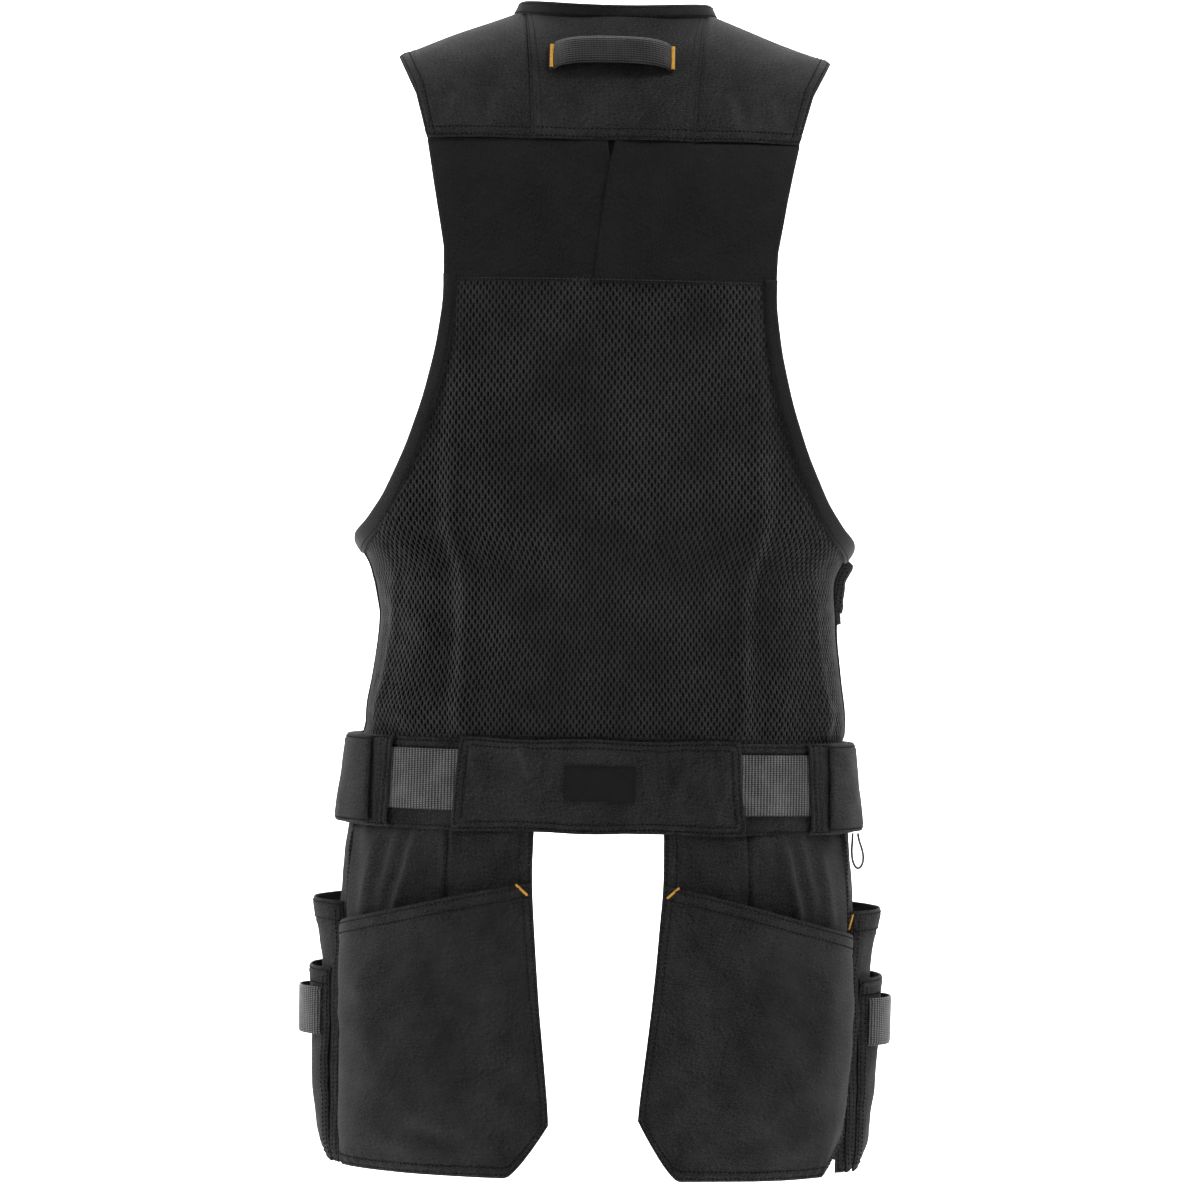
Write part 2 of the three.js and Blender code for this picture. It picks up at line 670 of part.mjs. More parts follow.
// Waistband, open at the front, and the belt, a closed ring over it
const RING_TURNS = evenly(48, -HALF_TURN, HALF_TURN);
const BAND_END_TURN = HALF_TURN - turnAtX(FRONT_GAP, WAIST_Z);
const BAND_TURNS = RING_TURNS.filter((turn) => Math.abs(turn) < BAND_END_TURN);
add('waistband', 'twill', carriedRound({
  turns: [-BAND_END_TURN, ...BAND_TURNS, BAND_END_TURN],
  section: (turn) => [
    { z: WAIST_Z, lift: 0 },
    { z: WAIST_Z, lift: WAISTBAND_WALL },
    { z: BAND_Z, lift: WAISTBAND_WALL },
    { z: BAND_Z, lift: 0 },
  ].map((corner) => ({ ...corner, turn })),
}));

const BELT_LIFT = WAISTBAND_WALL + LAYER_GAP;
const BELT_TOP = WAIST_Z - BELT_DROP;
add('webbing_belt', 'webbing', carriedRound({
  closed: true,
  turns: RING_TURNS.slice(0, -1),
  section: (turn) => [
    { z: BELT_TOP, lift: BELT_LIFT },
    { z: BELT_TOP, lift: BELT_LIFT + WEBBING },
    { z: BELT_TOP - BELT_WIDTH, lift: BELT_LIFT + WEBBING },
    { z: BELT_TOP - BELT_WIDTH, lift: BELT_LIFT },
  ].map((corner) => ({ ...corner, turn })),
}));

// A loop of cloth over the belt, sewn to the waistband above and below it
function beltTunnel({ turnAt, turns, top, bottom, wall, spread, lift }) {
  return carriedRound({
    turns,
    section: (share) => {
      const lip = WAISTBAND_WALL + POCKET_GAP;
      const corners = [
        { z: top, lift: lip },
        { z: top, lift: lift + wall },
        { z: bottom, lift: lift + spread + wall },
        { z: bottom, lift: lip },
        { z: bottom + wall, lift: lip },
        { z: bottom + wall, lift: lift + spread },
        { z: top - wall, lift },
        { z: top - wall, lift: lip },
      ];
      return corners.map((corner) => ({ ...corner, turn: turnAt(share, corner.z) }));
    },
  });
}

const TUNNEL_LIFT = BELT_LIFT + WEBBING + LAYER_GAP;
const PANEL_TOP = WAIST_Z + PANEL_RISE;
add('back_waist_panel', 'twill', beltTunnel({
  turns: evenly(10, -1, 1),
  turnAt: (share, z) => {
    const down = (PANEL_TOP - z) / (PANEL_TOP - BAND_Z);
    return turnAtX(share * mix(PANEL_HALF_TOP, PANEL_HALF_BOTTOM, down), z);
  },
  top: PANEL_TOP,
  bottom: BAND_Z,
  wall: PANEL_WALL,
  spread: 0,
  lift: TUNNEL_LIFT,
}));

add('label_patch', 'patch', clothWall({
  surface: (u, v) => {
    const z = WAIST_Z - LABEL_DROP - v * LABEL_HEIGHT;
    return bodyPoint(turnAtX(u * LABEL_HALF, z), z);
  },
  us: evenly(4, -1, 1),
  vs: [0, 1],
  from: TUNNEL_LIFT + PANEL_WALL + LAYER_GAP,
  to: TUNNEL_LIFT + PANEL_WALL + LAYER_GAP + LABEL_WALL,
}));

for (const { side, word } of SIDES) {
  const turnFrom = (x) => (share, z) => side * mix(turnAtX(x, z), KEEPER_TURN * RADIANS, share);
  add(`side_keeper_${word}`, 'twill', beltTunnel({
    turns: evenly(7),
    turnAt: turnFrom(KEEPER_INNER),
    top: PANEL_TOP,
    bottom: BAND_Z,
    wall: TWILL,
    spread: 0.5 * KEEPER_SPREAD,
    lift: TUNNEL_LIFT,
  }));
  add(`side_keeper_flap_${word}`, 'twill', clothWall({
    surface: (u, v) => {
      const z = mix(PANEL_TOP - FLAP_INSET, BAND_Z + FLAP_INSET, v);
      return bodyPoint(turnFrom(KEEPER_FACE)(u, z), z);
    },
    us: evenly(6),
    vs: [0, 0.5, 1],
    from: (u, v) => keeperFlapLift(v),
    to: (u, v) => keeperFlapLift(v) + TWILL,
  }));
}

function keeperFlapLift(v) {
  return TUNNEL_LIFT + TWILL + POCKET_GAP + v * KEEPER_SPREAD;
}

// Belt buckle: one plain body in front of the belt
const buckleOutline = new THREE.Shape();
const cornerX = BUCKLE_WIDTH / 2 - BUCKLE_CORNER;
const cornerY = BUCKLE_HEIGHT / 2 - BUCKLE_CORNER;
buckleOutline.absarc(cornerX, -cornerY, BUCKLE_CORNER, -QUARTER_TURN, 0);
buckleOutline.absarc(cornerX, cornerY, BUCKLE_CORNER, 0, QUARTER_TURN);
buckleOutline.absarc(-cornerX, cornerY, BUCKLE_CORNER, QUARTER_TURN, HALF_TURN);
buckleOutline.absarc(-cornerX, -cornerY, BUCKLE_CORNER, HALF_TURN, 3 * QUARTER_TURN);
buckleOutline.closePath();
const buckle = add('belt_buckle', 'plastic', new THREE.ExtrudeGeometry(buckleOutline, {
  depth: BUCKLE_WALL,
  bevelEnabled: false,
  curveSegments: 4,
}));
const beltMiddleZ = BELT_TOP - BELT_WIDTH / 2;
const beltFront = bodyPoint(HALF_TURN, BELT_TOP - BELT_WIDTH).y - BELT_LIFT - WEBBING - LAYER_GAP;
buckle.rotation.x = QUARTER_TURN;
buckle.position.set(0, beltFront, beltMiddleZ);

// Holsters: a share across the back panel runs from its inner edge to the seam at the hip
function holsterInner(z) {
  const down = (BAND_Z - z) / HOLSTER_LENGTH;
  return HOLSTER_INNER * lookUp(HOLSTER_EDGE, 'down', down, 'across');
}

const CORNER_SHARE = 0.12;
const OUTER_SHARE = { left: 0.96, right: 0.78 };
const OUTER_CUT = { left: 16, right: 29 };

function holsterHem(u, word) {
  if (u < CORNER_SHARE) {
    return HEM_Z + HOLSTER_CHAMFER * (1 - u / CORNER_SHARE);
  }
  const past = Math.max(0, (u - OUTER_SHARE[word]) / (1 - OUTER_SHARE[word]));
  return HEM_Z + OUTER_CUT[word] * past;
}

function holsterTurn(u, z) {
  return mix(turnAtX(holsterInner(z), z), HOLSTER_SEAM_TURN * RADIANS, u);
}

const HOLSTER_US = {
  left: [0, CORNER_SHARE, 0.25, 0.4, 0.55, 0.68, 0.8, 0.9, OUTER_SHARE.left, 1],
  right: [0, CORNER_SHARE, 0.25, 0.4, 0.55, 0.68, OUTER_SHARE.right, 0.86, 0.93, 1],
};

function pouchShape(u) {
  return 1 - Math.abs(2 * u - 1) ** POUCH_FULLNESS;
}

const HOLSTER_TOP = BAND_Z - SEAM_GAP;
const POCKET_LIFT = TWILL + LAYER_GAP;
for (const { side, word } of SIDES) {
  add(`holster_back_${word}`, 'twill', clothWall({
    surface: (u, v) => {
      const z = mix(HOLSTER_TOP, holsterHem(u, word), v);
      return bodyPoint(side * holsterTurn(u, z), z);
    },
    us: HOLSTER_US[word],
    vs: [0, 0.14, 0.475, 0.8, 1],
    from: 0,
    to: TWILL,
  }));

  const backLift = (u, v) => {
    const z = backPocketHeight(u, v, word);
    const down = (BAND_Z - z) / HOLSTER_LENGTH;
    const foot = 1 - (BAND_Z - holsterHem(u, word)) / HOLSTER_LENGTH;
    return POCKET_LIFT + BACK_POCKET_DEPTH * pouchShape(u) * lookUp(BACK_BULGE, 'down', down + foot, 'off');
  };
  add(`back_pocket_${word}`, 'twill', clothWall({
    surface: (u, v) => {
      const z = backPocketHeight(u, v, word);
      return bodyPoint(side * holsterTurn(u, z), z);
    },
    us: HOLSTER_US[word],
    vs: [0, 0.2, 0.45, 0.7, 0.86, 1],
    from: backLift,
    to: (u, v) => backLift(u, v) + TWILL,
  }));
}

function backPocketHeight(u, v, word) {
  const mouth = BAND_Z - mix(MOUTH_INNER_DROP, MOUTH_OUTER_DROP, u);
  return mix(mouth, holsterHem(u, word), v);
}

// Hip side of each holster, with its two pockets and the tool loops
const LOWER_REAR = SIDE_POCKET_REAR + LOWER_INSET_TURN;
const LOWER_FRONT = SIDE_POCKET_FRONT - LOWER_INSET_TURN;
const TOOL_LOOPS = [
  { name: 'rear', from: 0.04, to: 0.33 },
  { name: 'front', from: 0.4, to: 0.69 },
];
const LOWER_SHARES = [0, ...TOOL_LOOPS.flatMap(({ from, to }) => [from, mix(from, to, 0.5), to]), 0.85, 1];
const SIDE_TURNS = [
  HOLSTER_SEAM_TURN + SEAM_GAP,
  SIDE_POCKET_REAR,
  ...LOWER_SHARES.map((share) => mix(LOWER_REAR, LOWER_FRONT, share)),
  SIDE_POCKET_FRONT,
  HOLSTER_FRONT_TURN,
];
const sideTurnsBetween = (from, to) => SIDE_TURNS.filter((turn) => turn >= from && turn <= to);

function sidePocketLift(turn, z) {
  const across = (turn - SIDE_POCKET_REAR) / (SIDE_POCKET_FRONT - SIDE_POCKET_REAR);
  return POCKET_LIFT + SIDE_POCKET_DEPTH * pouchShape(across) * lookUp(SIDE_BULGE, 'z', z, 'upper');
}

function lowerPocketLift(turn, z) {
  const across = (turn - LOWER_REAR) / (LOWER_FRONT - LOWER_REAR);
  const bulge = LOWER_POCKET_DEPTH * pouchShape(across) * lookUp(SIDE_BULGE, 'z', z, 'lower');
  return sidePocketLift(turn, z) + TWILL + POCKET_GAP + bulge;
}

function sideWall({ side, turns, heights, from, to }) {
  return clothWall({
    surface: (u, v) => bodyPoint(side * u * RADIANS, v),
    us: turns,
    vs: heights,
    from,
    to,
  });
}

const SIDE_HEIGHTS = SIDE_BULGE.map(({ z }) => z);
const TOOL_LOOP_TOP = BAND_Z - TOOL_LOOP_DROP;

for (const { side, word } of SIDES) {
  add(`holster_side_${word}`, 'twill', sideWall({
    side,
    turns: SIDE_TURNS,
    heights: [HOLSTER_TOP, ...SIDE_HEIGHTS.filter((_, row) => row !== 1 && row !== 3)],
    from: 0,
    to: TWILL,
  }));
  add(`side_pocket_${word}`, 'twill', sideWall({
    side,
    turns: sideTurnsBetween(SIDE_POCKET_REAR, SIDE_POCKET_FRONT),
    heights: SIDE_HEIGHTS,
    from: sidePocketLift,
    to: (turn, z) => sidePocketLift(turn, z) + TWILL,
  }));
  add(`side_pocket_lower_${word}`, 'twill', sideWall({
    side,
    turns: sideTurnsBetween(LOWER_REAR, LOWER_FRONT),
    heights: SIDE_HEIGHTS.slice(1),
    from: lowerPocketLift,
    to: (turn, z) => lowerPocketLift(turn, z) + TWILL,
  }));
  for (const { name, from, to } of TOOL_LOOPS) {
    const start = mix(LOWER_REAR, LOWER_FRONT, from);
    const end = mix(LOWER_REAR, LOWER_FRONT, to);
    const loopLift = (turn, z) => {
      const across = (turn - start) / (end - start);
      const bow = TOOL_LOOP_BOW * Math.sqrt(Math.max(0, Math.sin(Math.PI * across)));
      return lowerPocketLift(turn, z) + TWILL + LAYER_GAP + bow;
    };
    add(`tool_loop_${name}_${word}`, 'webbing', sideWall({
      side,
      turns: evenly(6, start, end),
      heights: [TOOL_LOOP_TOP, TOOL_LOOP_TOP - TOOL_LOOP_HEIGHT],
      from: loopLift,
      to: (turn, z) => loopLift(turn, z) + LOOP_WEBBING,
    }));
  }
}

// Chest pocket of the right front, which sticks out under the armhole, and its flap
const CHEST_POCKET_TOP = ARMPIT_Z - CHEST_POCKET_DROP;
const CHEST_TURNS = evenly(7, CHEST_POCKET_REAR, CHEST_POCKET_FRONT);
function chestPocketLift(turn, z) {
  const across = (turn - CHEST_POCKET_REAR) / (CHEST_POCKET_FRONT - CHEST_POCKET_REAR);
  const down = (CHEST_POCKET_TOP - z) / CHEST_POCKET_HEIGHT;
  const off = Math.min(1, (1 - down) / CHEST_POCKET_SLOPE);
  return POCKET_LIFT + POCKET_GAP + CHEST_POCKET_DEPTH * off * pouchShape(across) ** 0.5;
}

const CHEST_FLAP_HEIGHTS = [CHEST_POCKET_TOP, LIP_Z, CHEST_POCKET_TOP - CHEST_FLAP_HEIGHT];
const CHEST_POCKET_FOOT = CHEST_POCKET_TOP - CHEST_POCKET_HEIGHT;
add('chest_pocket_right', 'twill', sideWall({
  side: -1,
  turns: CHEST_TURNS,
  heights: [
    ...CHEST_FLAP_HEIGHTS,
    CHEST_POCKET_FOOT + CHEST_POCKET_SEAM * CHEST_POCKET_HEIGHT,
    CHEST_POCKET_FOOT,
  ],
  from: chestPocketLift,
  to: (turn, z) => chestPocketLift(turn, z) + TWILL,
}));
add('chest_pocket_flap_right', 'twill', sideWall({
  side: -1,
  turns: CHEST_TURNS,
  heights: CHEST_FLAP_HEIGHTS,
  from: (turn, z) => chestPocketLift(turn, z) + TWILL + POCKET_GAP,
  to: (turn, z) => chestPocketLift(turn, z) + 2 * TWILL + POCKET_GAP,
}));

// Cord loop, hanging under the right hip
const cordExit = bodyPoint(CORD_TURN * RADIANS, BAND_Z);
const cordPoints = CORD_ROUTE.map(({ across, down }) => new THREE.Vector3(
  cordExit.x - CORD_LIFT - across * CORD_LOOP_WIDTH,
  cordExit.y,
  cordExit.z - LAYER_GAP - down * CORD_LOOP_LENGTH,
));
const cordSection = new THREE.Shape();
for (let corner = 0; corner < 8; corner += 1) {
  const angle = corner * HALF_TURN / 4;
  const x = 0.5 * CORD_DIAMETER * Math.cos(angle);
  const y = 0.5 * CORD_DIAMETER * Math.sin(angle);
  if (corner === 0) {
    cordSection.moveTo(x, y);
  } else {
    cordSection.lineTo(x, y);
  }
}
add('cord_loop_right', 'tape', new THREE.ExtrudeGeometry(cordSection, {
  steps: 20,
  extrudePath: new THREE.CatmullRomCurve3(cordPoints),
}));

export default vest;
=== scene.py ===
# Utility work vest, seen from behind as it hangs in its worn shape.
# Lengths are worked out in millimetres and written to the meshes in metres.
# +Z is up, the wearer faces -Y, and the wearer's left is +X.

import math

import bpy
import numpy as np
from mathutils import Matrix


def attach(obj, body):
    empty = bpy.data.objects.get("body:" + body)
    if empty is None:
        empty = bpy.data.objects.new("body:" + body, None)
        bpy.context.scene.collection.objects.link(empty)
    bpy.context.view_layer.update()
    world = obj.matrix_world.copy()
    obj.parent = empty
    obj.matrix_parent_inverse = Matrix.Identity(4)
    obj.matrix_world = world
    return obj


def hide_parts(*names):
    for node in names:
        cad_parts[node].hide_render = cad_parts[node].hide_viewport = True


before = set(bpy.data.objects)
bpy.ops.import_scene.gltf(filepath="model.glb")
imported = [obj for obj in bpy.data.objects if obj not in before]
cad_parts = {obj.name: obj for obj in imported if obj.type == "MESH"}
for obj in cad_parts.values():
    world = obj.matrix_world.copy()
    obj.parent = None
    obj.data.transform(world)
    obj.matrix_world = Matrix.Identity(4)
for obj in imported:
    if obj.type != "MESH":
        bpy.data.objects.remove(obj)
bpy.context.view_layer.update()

# --- Camera: straight behind the vest at the height of its middle, turned a little
# on its own axis, as the vest leans a degree in the photograph.

camera_data = bpy.data.cameras.new("camera")
camera_data.sensor_width = 36
camera_data.lens = 136.4
camera_data.clip_end = 60
camera = bpy.data.objects.new("camera", camera_data)
camera.location = (0.0076, 3.6, -0.4527)
camera.rotation_euler = (math.radians(90), math.radians(-1.2), math.radians(180))
bpy.context.scene.collection.objects.link(camera)
bpy.context.scene.camera = camera

# --- Back yoke: charcoal twill, cut to lie over the shoulder blades. It is the first
# piece laid on the body form, so the form and the making of cloth stand here.

MM = 0.001
SIDES = (("left", 1), ("right", -1))
SQUARENESS = 2.4
CHEST_HALF = 203.0
CHEST_Z = -150.0
WAIST_Z, BAND_Z, HEM_Z = -568.0, -638.0, -907.0
YOKE_FOOT = -101.0
YOKE_TOP_X, YOKE_FOOT_X = 71.5, 63.0
NECK_HALF = 79.5

# Height, half width, back depth and front depth of the body form
FORM = np.array([
    [40, CHEST_HALF, 120, 130],
    [-396.3, CHEST_HALF, 116.4, 130],
    [-411.6, 200, 115.2, 127.4],
    [-432.8, 182.5, 112.8, 123.5],
    [-481.4, 182.5, 108, 119.6],
    [-538.3, 190.1, 105.1, 113.3],
    [WAIST_Z, 192, 102, 110],
    [BAND_Z, 197.9, 109.3, 112.1],
    [-702.6, CHEST_HALF, 115, 118],
    [-1200, CHEST_HALF, 115, 118],
], float)


def shares(columns, rows, left=0):
    """A row of numbers from left to 1 and a column of numbers from 0 to 1, to lay out a grid."""
    return np.linspace(left, 1, columns)[None, :], np.linspace(0, 1, rows)[:, None]


def bell(distance, width):
    """1 at no distance, falling to 0 on both sides."""
    return np.exp(-((distance / width) ** 2))


def fade(distance, middle, width):
    """1 below the middle, 0 above it, with a soft step between."""
    return 1 / (1 + np.exp((distance - middle) / width))


def blurred(values, reach, count, **pad):
    """Values in a row, averaged over a bell curve of the given reach."""
    curve = np.exp(-0.5 * (np.arange(-count, count + 1) / reach) ** 2)
    return np.convolve(np.pad(values, count, **pad), curve / curve.sum(), mode="valid")


def averaged(at, table, column, shifts):
    """A column of a table read at some places, averaged over shifts of them."""
    return np.mean([np.interp(at + shift, table[:, 0], table[:, column]) for shift in shifts], axis=0)


heights = np.arange(-1180, 41)
HALF, BACK, FRONT = (
    (heights, blurred(np.interp(heights, FORM[::-1, 0], FORM[::-1, k]), 9, 30, mode="edge"))
    for k in (1, 2, 3)
)


def power_wave(wave):
    """A sine or cosine, raised so that the ring it draws is a rounded rectangle."""
    return np.sign(wave) * np.abs(wave) ** (2 / SQUARENESS)


def shoulder_line(x):
    """Height of the shoulder over x: a straight slope outside the neck, rounded across it."""
    size = np.abs(x)
    return np.where(size < 70, 10.1 + 0.37 * (4900 - size**2) / 140, 36 - 0.37 * size)


def form(turn, z):
    """Points of the body form: a rounded rectangle at each height, drawn in towards the shoulder
    line. turn is the angle from the centre back, positive to the wearer's left."""
    half = np.interp(z, *HALF)
    depth = np.where(np.cos(turn) > 0, np.interp(z, *BACK), np.interp(z, *FRONT))
    x = half * power_wave(np.sin(turn))
    rise = np.clip((z - CHEST_Z) / (shoulder_line(x) - CHEST_Z), 0, 1)
    y = depth * power_wave(np.cos(turn)) * np.sqrt(1 - rise**2)
    return np.stack([x, y, z + 0 * x], axis=-1)


ring_turns = np.linspace(-np.pi, np.pi, 14401)
ring = form(ring_turns, np.full(ring_turns.shape, -750.0))
ring_lengths = np.concatenate([[0], np.cumsum(np.linalg.norm(np.diff(ring, axis=0), axis=1))])
ring_lengths -= ring_lengths[len(ring_lengths) // 2]


def turn_at(length):
    """The turn that lies a length round the hips from the centre back."""
    return np.interp(length, ring_lengths, ring_turns)


def length_to(turn):
    """The other way round: the length at a turn."""
    return np.interp(turn, ring_turns, ring_lengths)


def turn_of_x(x, z):
    """The turn on the back half where the form is x from the middle at height z."""
    share = np.clip(np.abs(x) / np.interp(z, *HALF), 0, 1)
    return np.sign(x) * np.arcsin(share ** (SQUARENESS / 2))


def over_shoulder(x, angle):
    """Points of the form over the shoulders. At each x a quarter of an ellipse rises from the
    back, angle 0, to the shoulder line, and another falls to the front."""
    shape = (1 - np.clip(np.abs(x) / CHEST_HALF, 0, 1) ** SQUARENESS) ** (1 / SQUARENESS)
    depth = np.where(angle < np.pi / 2, 120.0, 130.0) * shape
    z = (shoulder_line(x) - CHEST_Z) * np.sin(angle) + CHEST_Z
    return np.stack([x + 0 * angle, depth * np.cos(angle), z], axis=-1)


def angle_at(x, z):
    """The angle on the back that reaches height z over x."""
    return np.arcsin(np.clip((z - CHEST_Z) / (shoulder_line(x) - CHEST_Z), 0, 1))


def from_core(points):
    """The way to each point from the middle of the body, whose top lies at the chest."""
    core = points * np.array([0.5, 0, 1])
    core[..., 2] = np.minimum(core[..., 2], CHEST_Z)
    return points - core


def outward(grid):
    """Unit normals of a grid of points, facing away from the middle of the body."""
    normal = np.cross(np.gradient(grid, axis=1), np.gradient(grid, axis=0))
    normal /= np.maximum(np.linalg.norm(normal, axis=-1, keepdims=True), 1e-9)
    return normal * np.sign((normal * from_core(grid)).sum(-1).mean())


def lifted(grid, amount):
    """The grid moved along its outward normals by a number or a value for each point."""
    return grid + outward(grid) * (amount * np.ones(grid.shape[:2]))[..., None]


def lengths(grid):
    """Lengths along the rows and down the columns to each point of a grid."""
    across = np.linalg.norm(np.diff(grid, axis=1), axis=-1)
    down = np.linalg.norm(np.diff(grid, axis=0), axis=-1)
    return (
        np.pad(np.cumsum(across, axis=1), ((0, 0), (1, 0))),
        np.pad(np.cumsum(down, axis=0), ((1, 0), (0, 0))),
    )


def from_edges(grid):
    """Distances of each point from the grid's left, right, top and bottom edges."""
    across, down = lengths(grid)
    return {"left": across, "right": across[:, -1:] - across, "top": down, "bottom": down[-1:] - down}


def nearest(edge, *names):
    return np.minimum.reduce([edge[name] for name in names])


def sewn(distance, rows=(), hem=0.0, height=0.5, roll=1.1):
    """Relief near an edge: the edge rolls in, the cloth of a hem is a little higher, and each row
    of stitches lies in a groove with the cloth swelling beside it."""
    relief = -roll * bell(distance, 1.3)
    if hem:
        relief = relief + height * fade(distance, hem, 0.5)
    for row in rows:
        relief = relief - 0.85 * bell(distance - row, 1.0) + 0.35 * bell(distance - row - 2.6, 1.5)
    return relief


def wander(a, b, size, seed):
    """Smooth unevenness between about -1 and 1: eight sine waves in seeded directions, whose
    lengths are near the given size."""
    dice = np.random.default_rng(seed)
    total = np.zeros(np.broadcast(a, b).shape)
    for _ in range(8):
        heading, phase = dice.uniform(0, 2 * np.pi, 2)
        step = 2 * np.pi / (size * dice.uniform(0.7, 1.6))
        total += np.sin(step * (a * np.cos(heading) + b * np.sin(heading)) + phase)
    return total / 4


def folds(grid, side, table):
    """Soft folds seen from behind, one for each row of the table: the x and z where it starts,
    those where it ends, its width, and its height, negative for a valley."""
    total = 0
    for x, z, end_x, end_z, width, height in table:
        run = np.array([side * (end_x - x), end_z - z], float)
        place = grid[..., [0, 2]] - np.array([side * x, z], float)
        along = np.clip((place @ run) / (run @ run), 0, 1)
        gap = np.linalg.norm(place - along[..., None] * run, axis=-1)
        taper = np.clip(np.sin(np.pi * np.clip(along, 0.02, 0.98)) * 1.6, 0, 1)
        total = total + height * taper * bell(gap, width)
    return total


def grid_faces(rows, columns):
    """Quads of a grid of rows and columns of points."""
    index = np.arange(rows * columns).reshape(rows, columns)
    return np.stack([index[:-1, :-1], index[1:, :-1], index[1:, 1:], index[:-1, 1:]], axis=-1).reshape(-1, 4)


def new_piece(name, points, faces, uv=None):
    """An object from points and quads, smooth shaded, with its lengths in metres as its UV map."""
    mesh = bpy.data.meshes.new(name)
    mesh.vertices.add(len(points))
    mesh.vertices.foreach_set("co", (points * MM).astype(np.float32).ravel())
    mesh.loops.add(faces.size)
    mesh.loops.foreach_set("vertex_index", faces.astype(np.int32).ravel())
    mesh.polygons.add(len(faces))
    mesh.polygons.foreach_set("loop_start", np.arange(0, faces.size, faces.shape[1], dtype=np.int32))
    mesh.polygons.foreach_set("use_smooth", np.ones(len(faces), bool))
    if uv is not None:
        layer = mesh.uv_layers.new(name="cloth")
        layer.data.foreach_set("uv", (uv[faces.ravel()] * MM).astype(np.float32).ravel())
    mesh.update(calc_edges=True)
    piece = bpy.data.objects.new(name, mesh)
    bpy.context.scene.collection.objects.link(piece)
    return piece


def dress(piece, material, nodes=()):
    """Gives a piece its material. It rides on the one body, in place of the named nodes."""
    piece.data.materials.append(material)
    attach(piece, "root")
    if nodes:
        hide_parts(*nodes)
    return piece


def quad_normals(points, faces):
    """Normals of quads, as long as twice their area."""
    a, b, c, d = (points[faces[:, k]] for k in range(4))
    return np.cross(c - a, d - b)


def face_outwards(points, faces):
    """The same quads, turned so that most of them face away from the middle of the body."""
    facing = (quad_normals(points, faces) * from_core(points[faces[:, 0]])).sum()
    return faces if facing > 0 else faces[:, ::-1]


def cloth(name, grid, wall, material, nodes, rests_on=None, edge=0.45, back=None):
    """A cloth piece: the grid is its outer face, Solidify gives it its wall inwards, and Bevel
    rounds the cut edges. Where it rests on something, its width, length and area are worked out
    but not used further. back is the material of its inner face, where that differs."""
    rows, columns = grid.shape[:2]
    points = grid.reshape(-1, 3)
    across, down = lengths(grid)
    uv = np.stack([across - across[:, -1:] / 2, -down], axis=-1).reshape(-1, 2)
    faces = grid_faces(rows, columns)
    piece = new_piece(name, points, face_outwards(points, faces), uv)
    solidify = piece.modifiers.new("wall", "SOLIDIFY")
    solidify.thickness = wall * MM
    solidify.offset = -1
    bevel = piece.modifiers.new("edges", "BEVEL")
    bevel.width = edge * MM
    bevel.segments = 2
    bevel.limit_method = "ANGLE"
    bevel.angle_limit = math.radians(50)
    dress(piece, material, nodes)
    if back:
        piece.data.materials.append(back)
        solidify.material_offset = 1
    if rests_on:
        width, length = float(across[:, -1].mean() * MM), float(down[-1].mean() * MM)
        area = float(np.linalg.norm(quad_normals(points, faces), axis=-1).sum() / 2 * MM * MM)
        area = min(area, width * length)


class Nodes:
    """A short way to write a material: each call adds a node and links what it is given."""

    def __init__(self, name):
        self.material = bpy.data.materials.new(name)
        self.material.use_nodes = True
        self.tree = self.material.node_tree
        self.shader = self.tree.nodes["Principled BSDF"]

    def add(self, kind, values=None, links=None, **settings):
        node = self.tree.nodes.new("ShaderNode" + kind)
        for key, value in settings.items():
            setattr(node, key, value)
        for key, value in (values or {}).items():
            node.inputs[key].default_value = value
        for key, source in (links or {}).items():
            self.tree.links.new(source, node.inputs[key])
        return node

    def noise(self, place, scale, detail, **more):
        values = {"Scale": scale, "Detail": detail, **more}
        return self.add("TexNoise", values, {"Vector": place}).outputs["Fac"]

    def wave(self, place, direction, length, distortion, **more):
        """Bands of a length in metres; Blender's wave of scale 1 is 0.314 long."""
        values = {"Scale": 0.314 / length, "Distortion": distortion, **more}
        settings = {"wave_type": "BANDS", "bands_direction": direction}
        return self.add("TexWave", values, {"Vector": place}, **settings).outputs["Fac"]

    def math(self, operation, a, b, **settings):
        """Two outputs, or an output and a number, put together."""
        values, links = ({1: b}, {0: a}) if isinstance(b, float) else (None, {0: a, 1: b})
        return self.add("Math", values, links, operation=operation, **settings).outputs[0]

    def ramp(self, tone, dark, light, start=0.0, end=1.0):
        node = self.add("ValToRGB", None, {"Fac": tone})
        for stop, colour, place in zip(node.color_ramp.elements, (dark, light), (start, end)):
            stop.color, stop.position = colour, place
        self.tree.links.new(node.outputs["Color"], self.shader.inputs["Base Color"])

    def bump(self, height, strength, distance):
        node = self.add("Bump", {"Strength": strength, "Distance": distance}, {"Height": height})
        self.tree.links.new(node.outputs["Normal"], self.shader.inputs["Normal"])

    def finish(self, roughness, specular, **more):
        """The last values of the shader, then the material."""
        more = {"Roughness": roughness, "Specular IOR Level": specular, **more}
        for key, value in more.items():
            self.shader.inputs[key].default_value = value
        return self.material


def grey(level, blue=1.0):
    return (level, level, level * blue, 1)


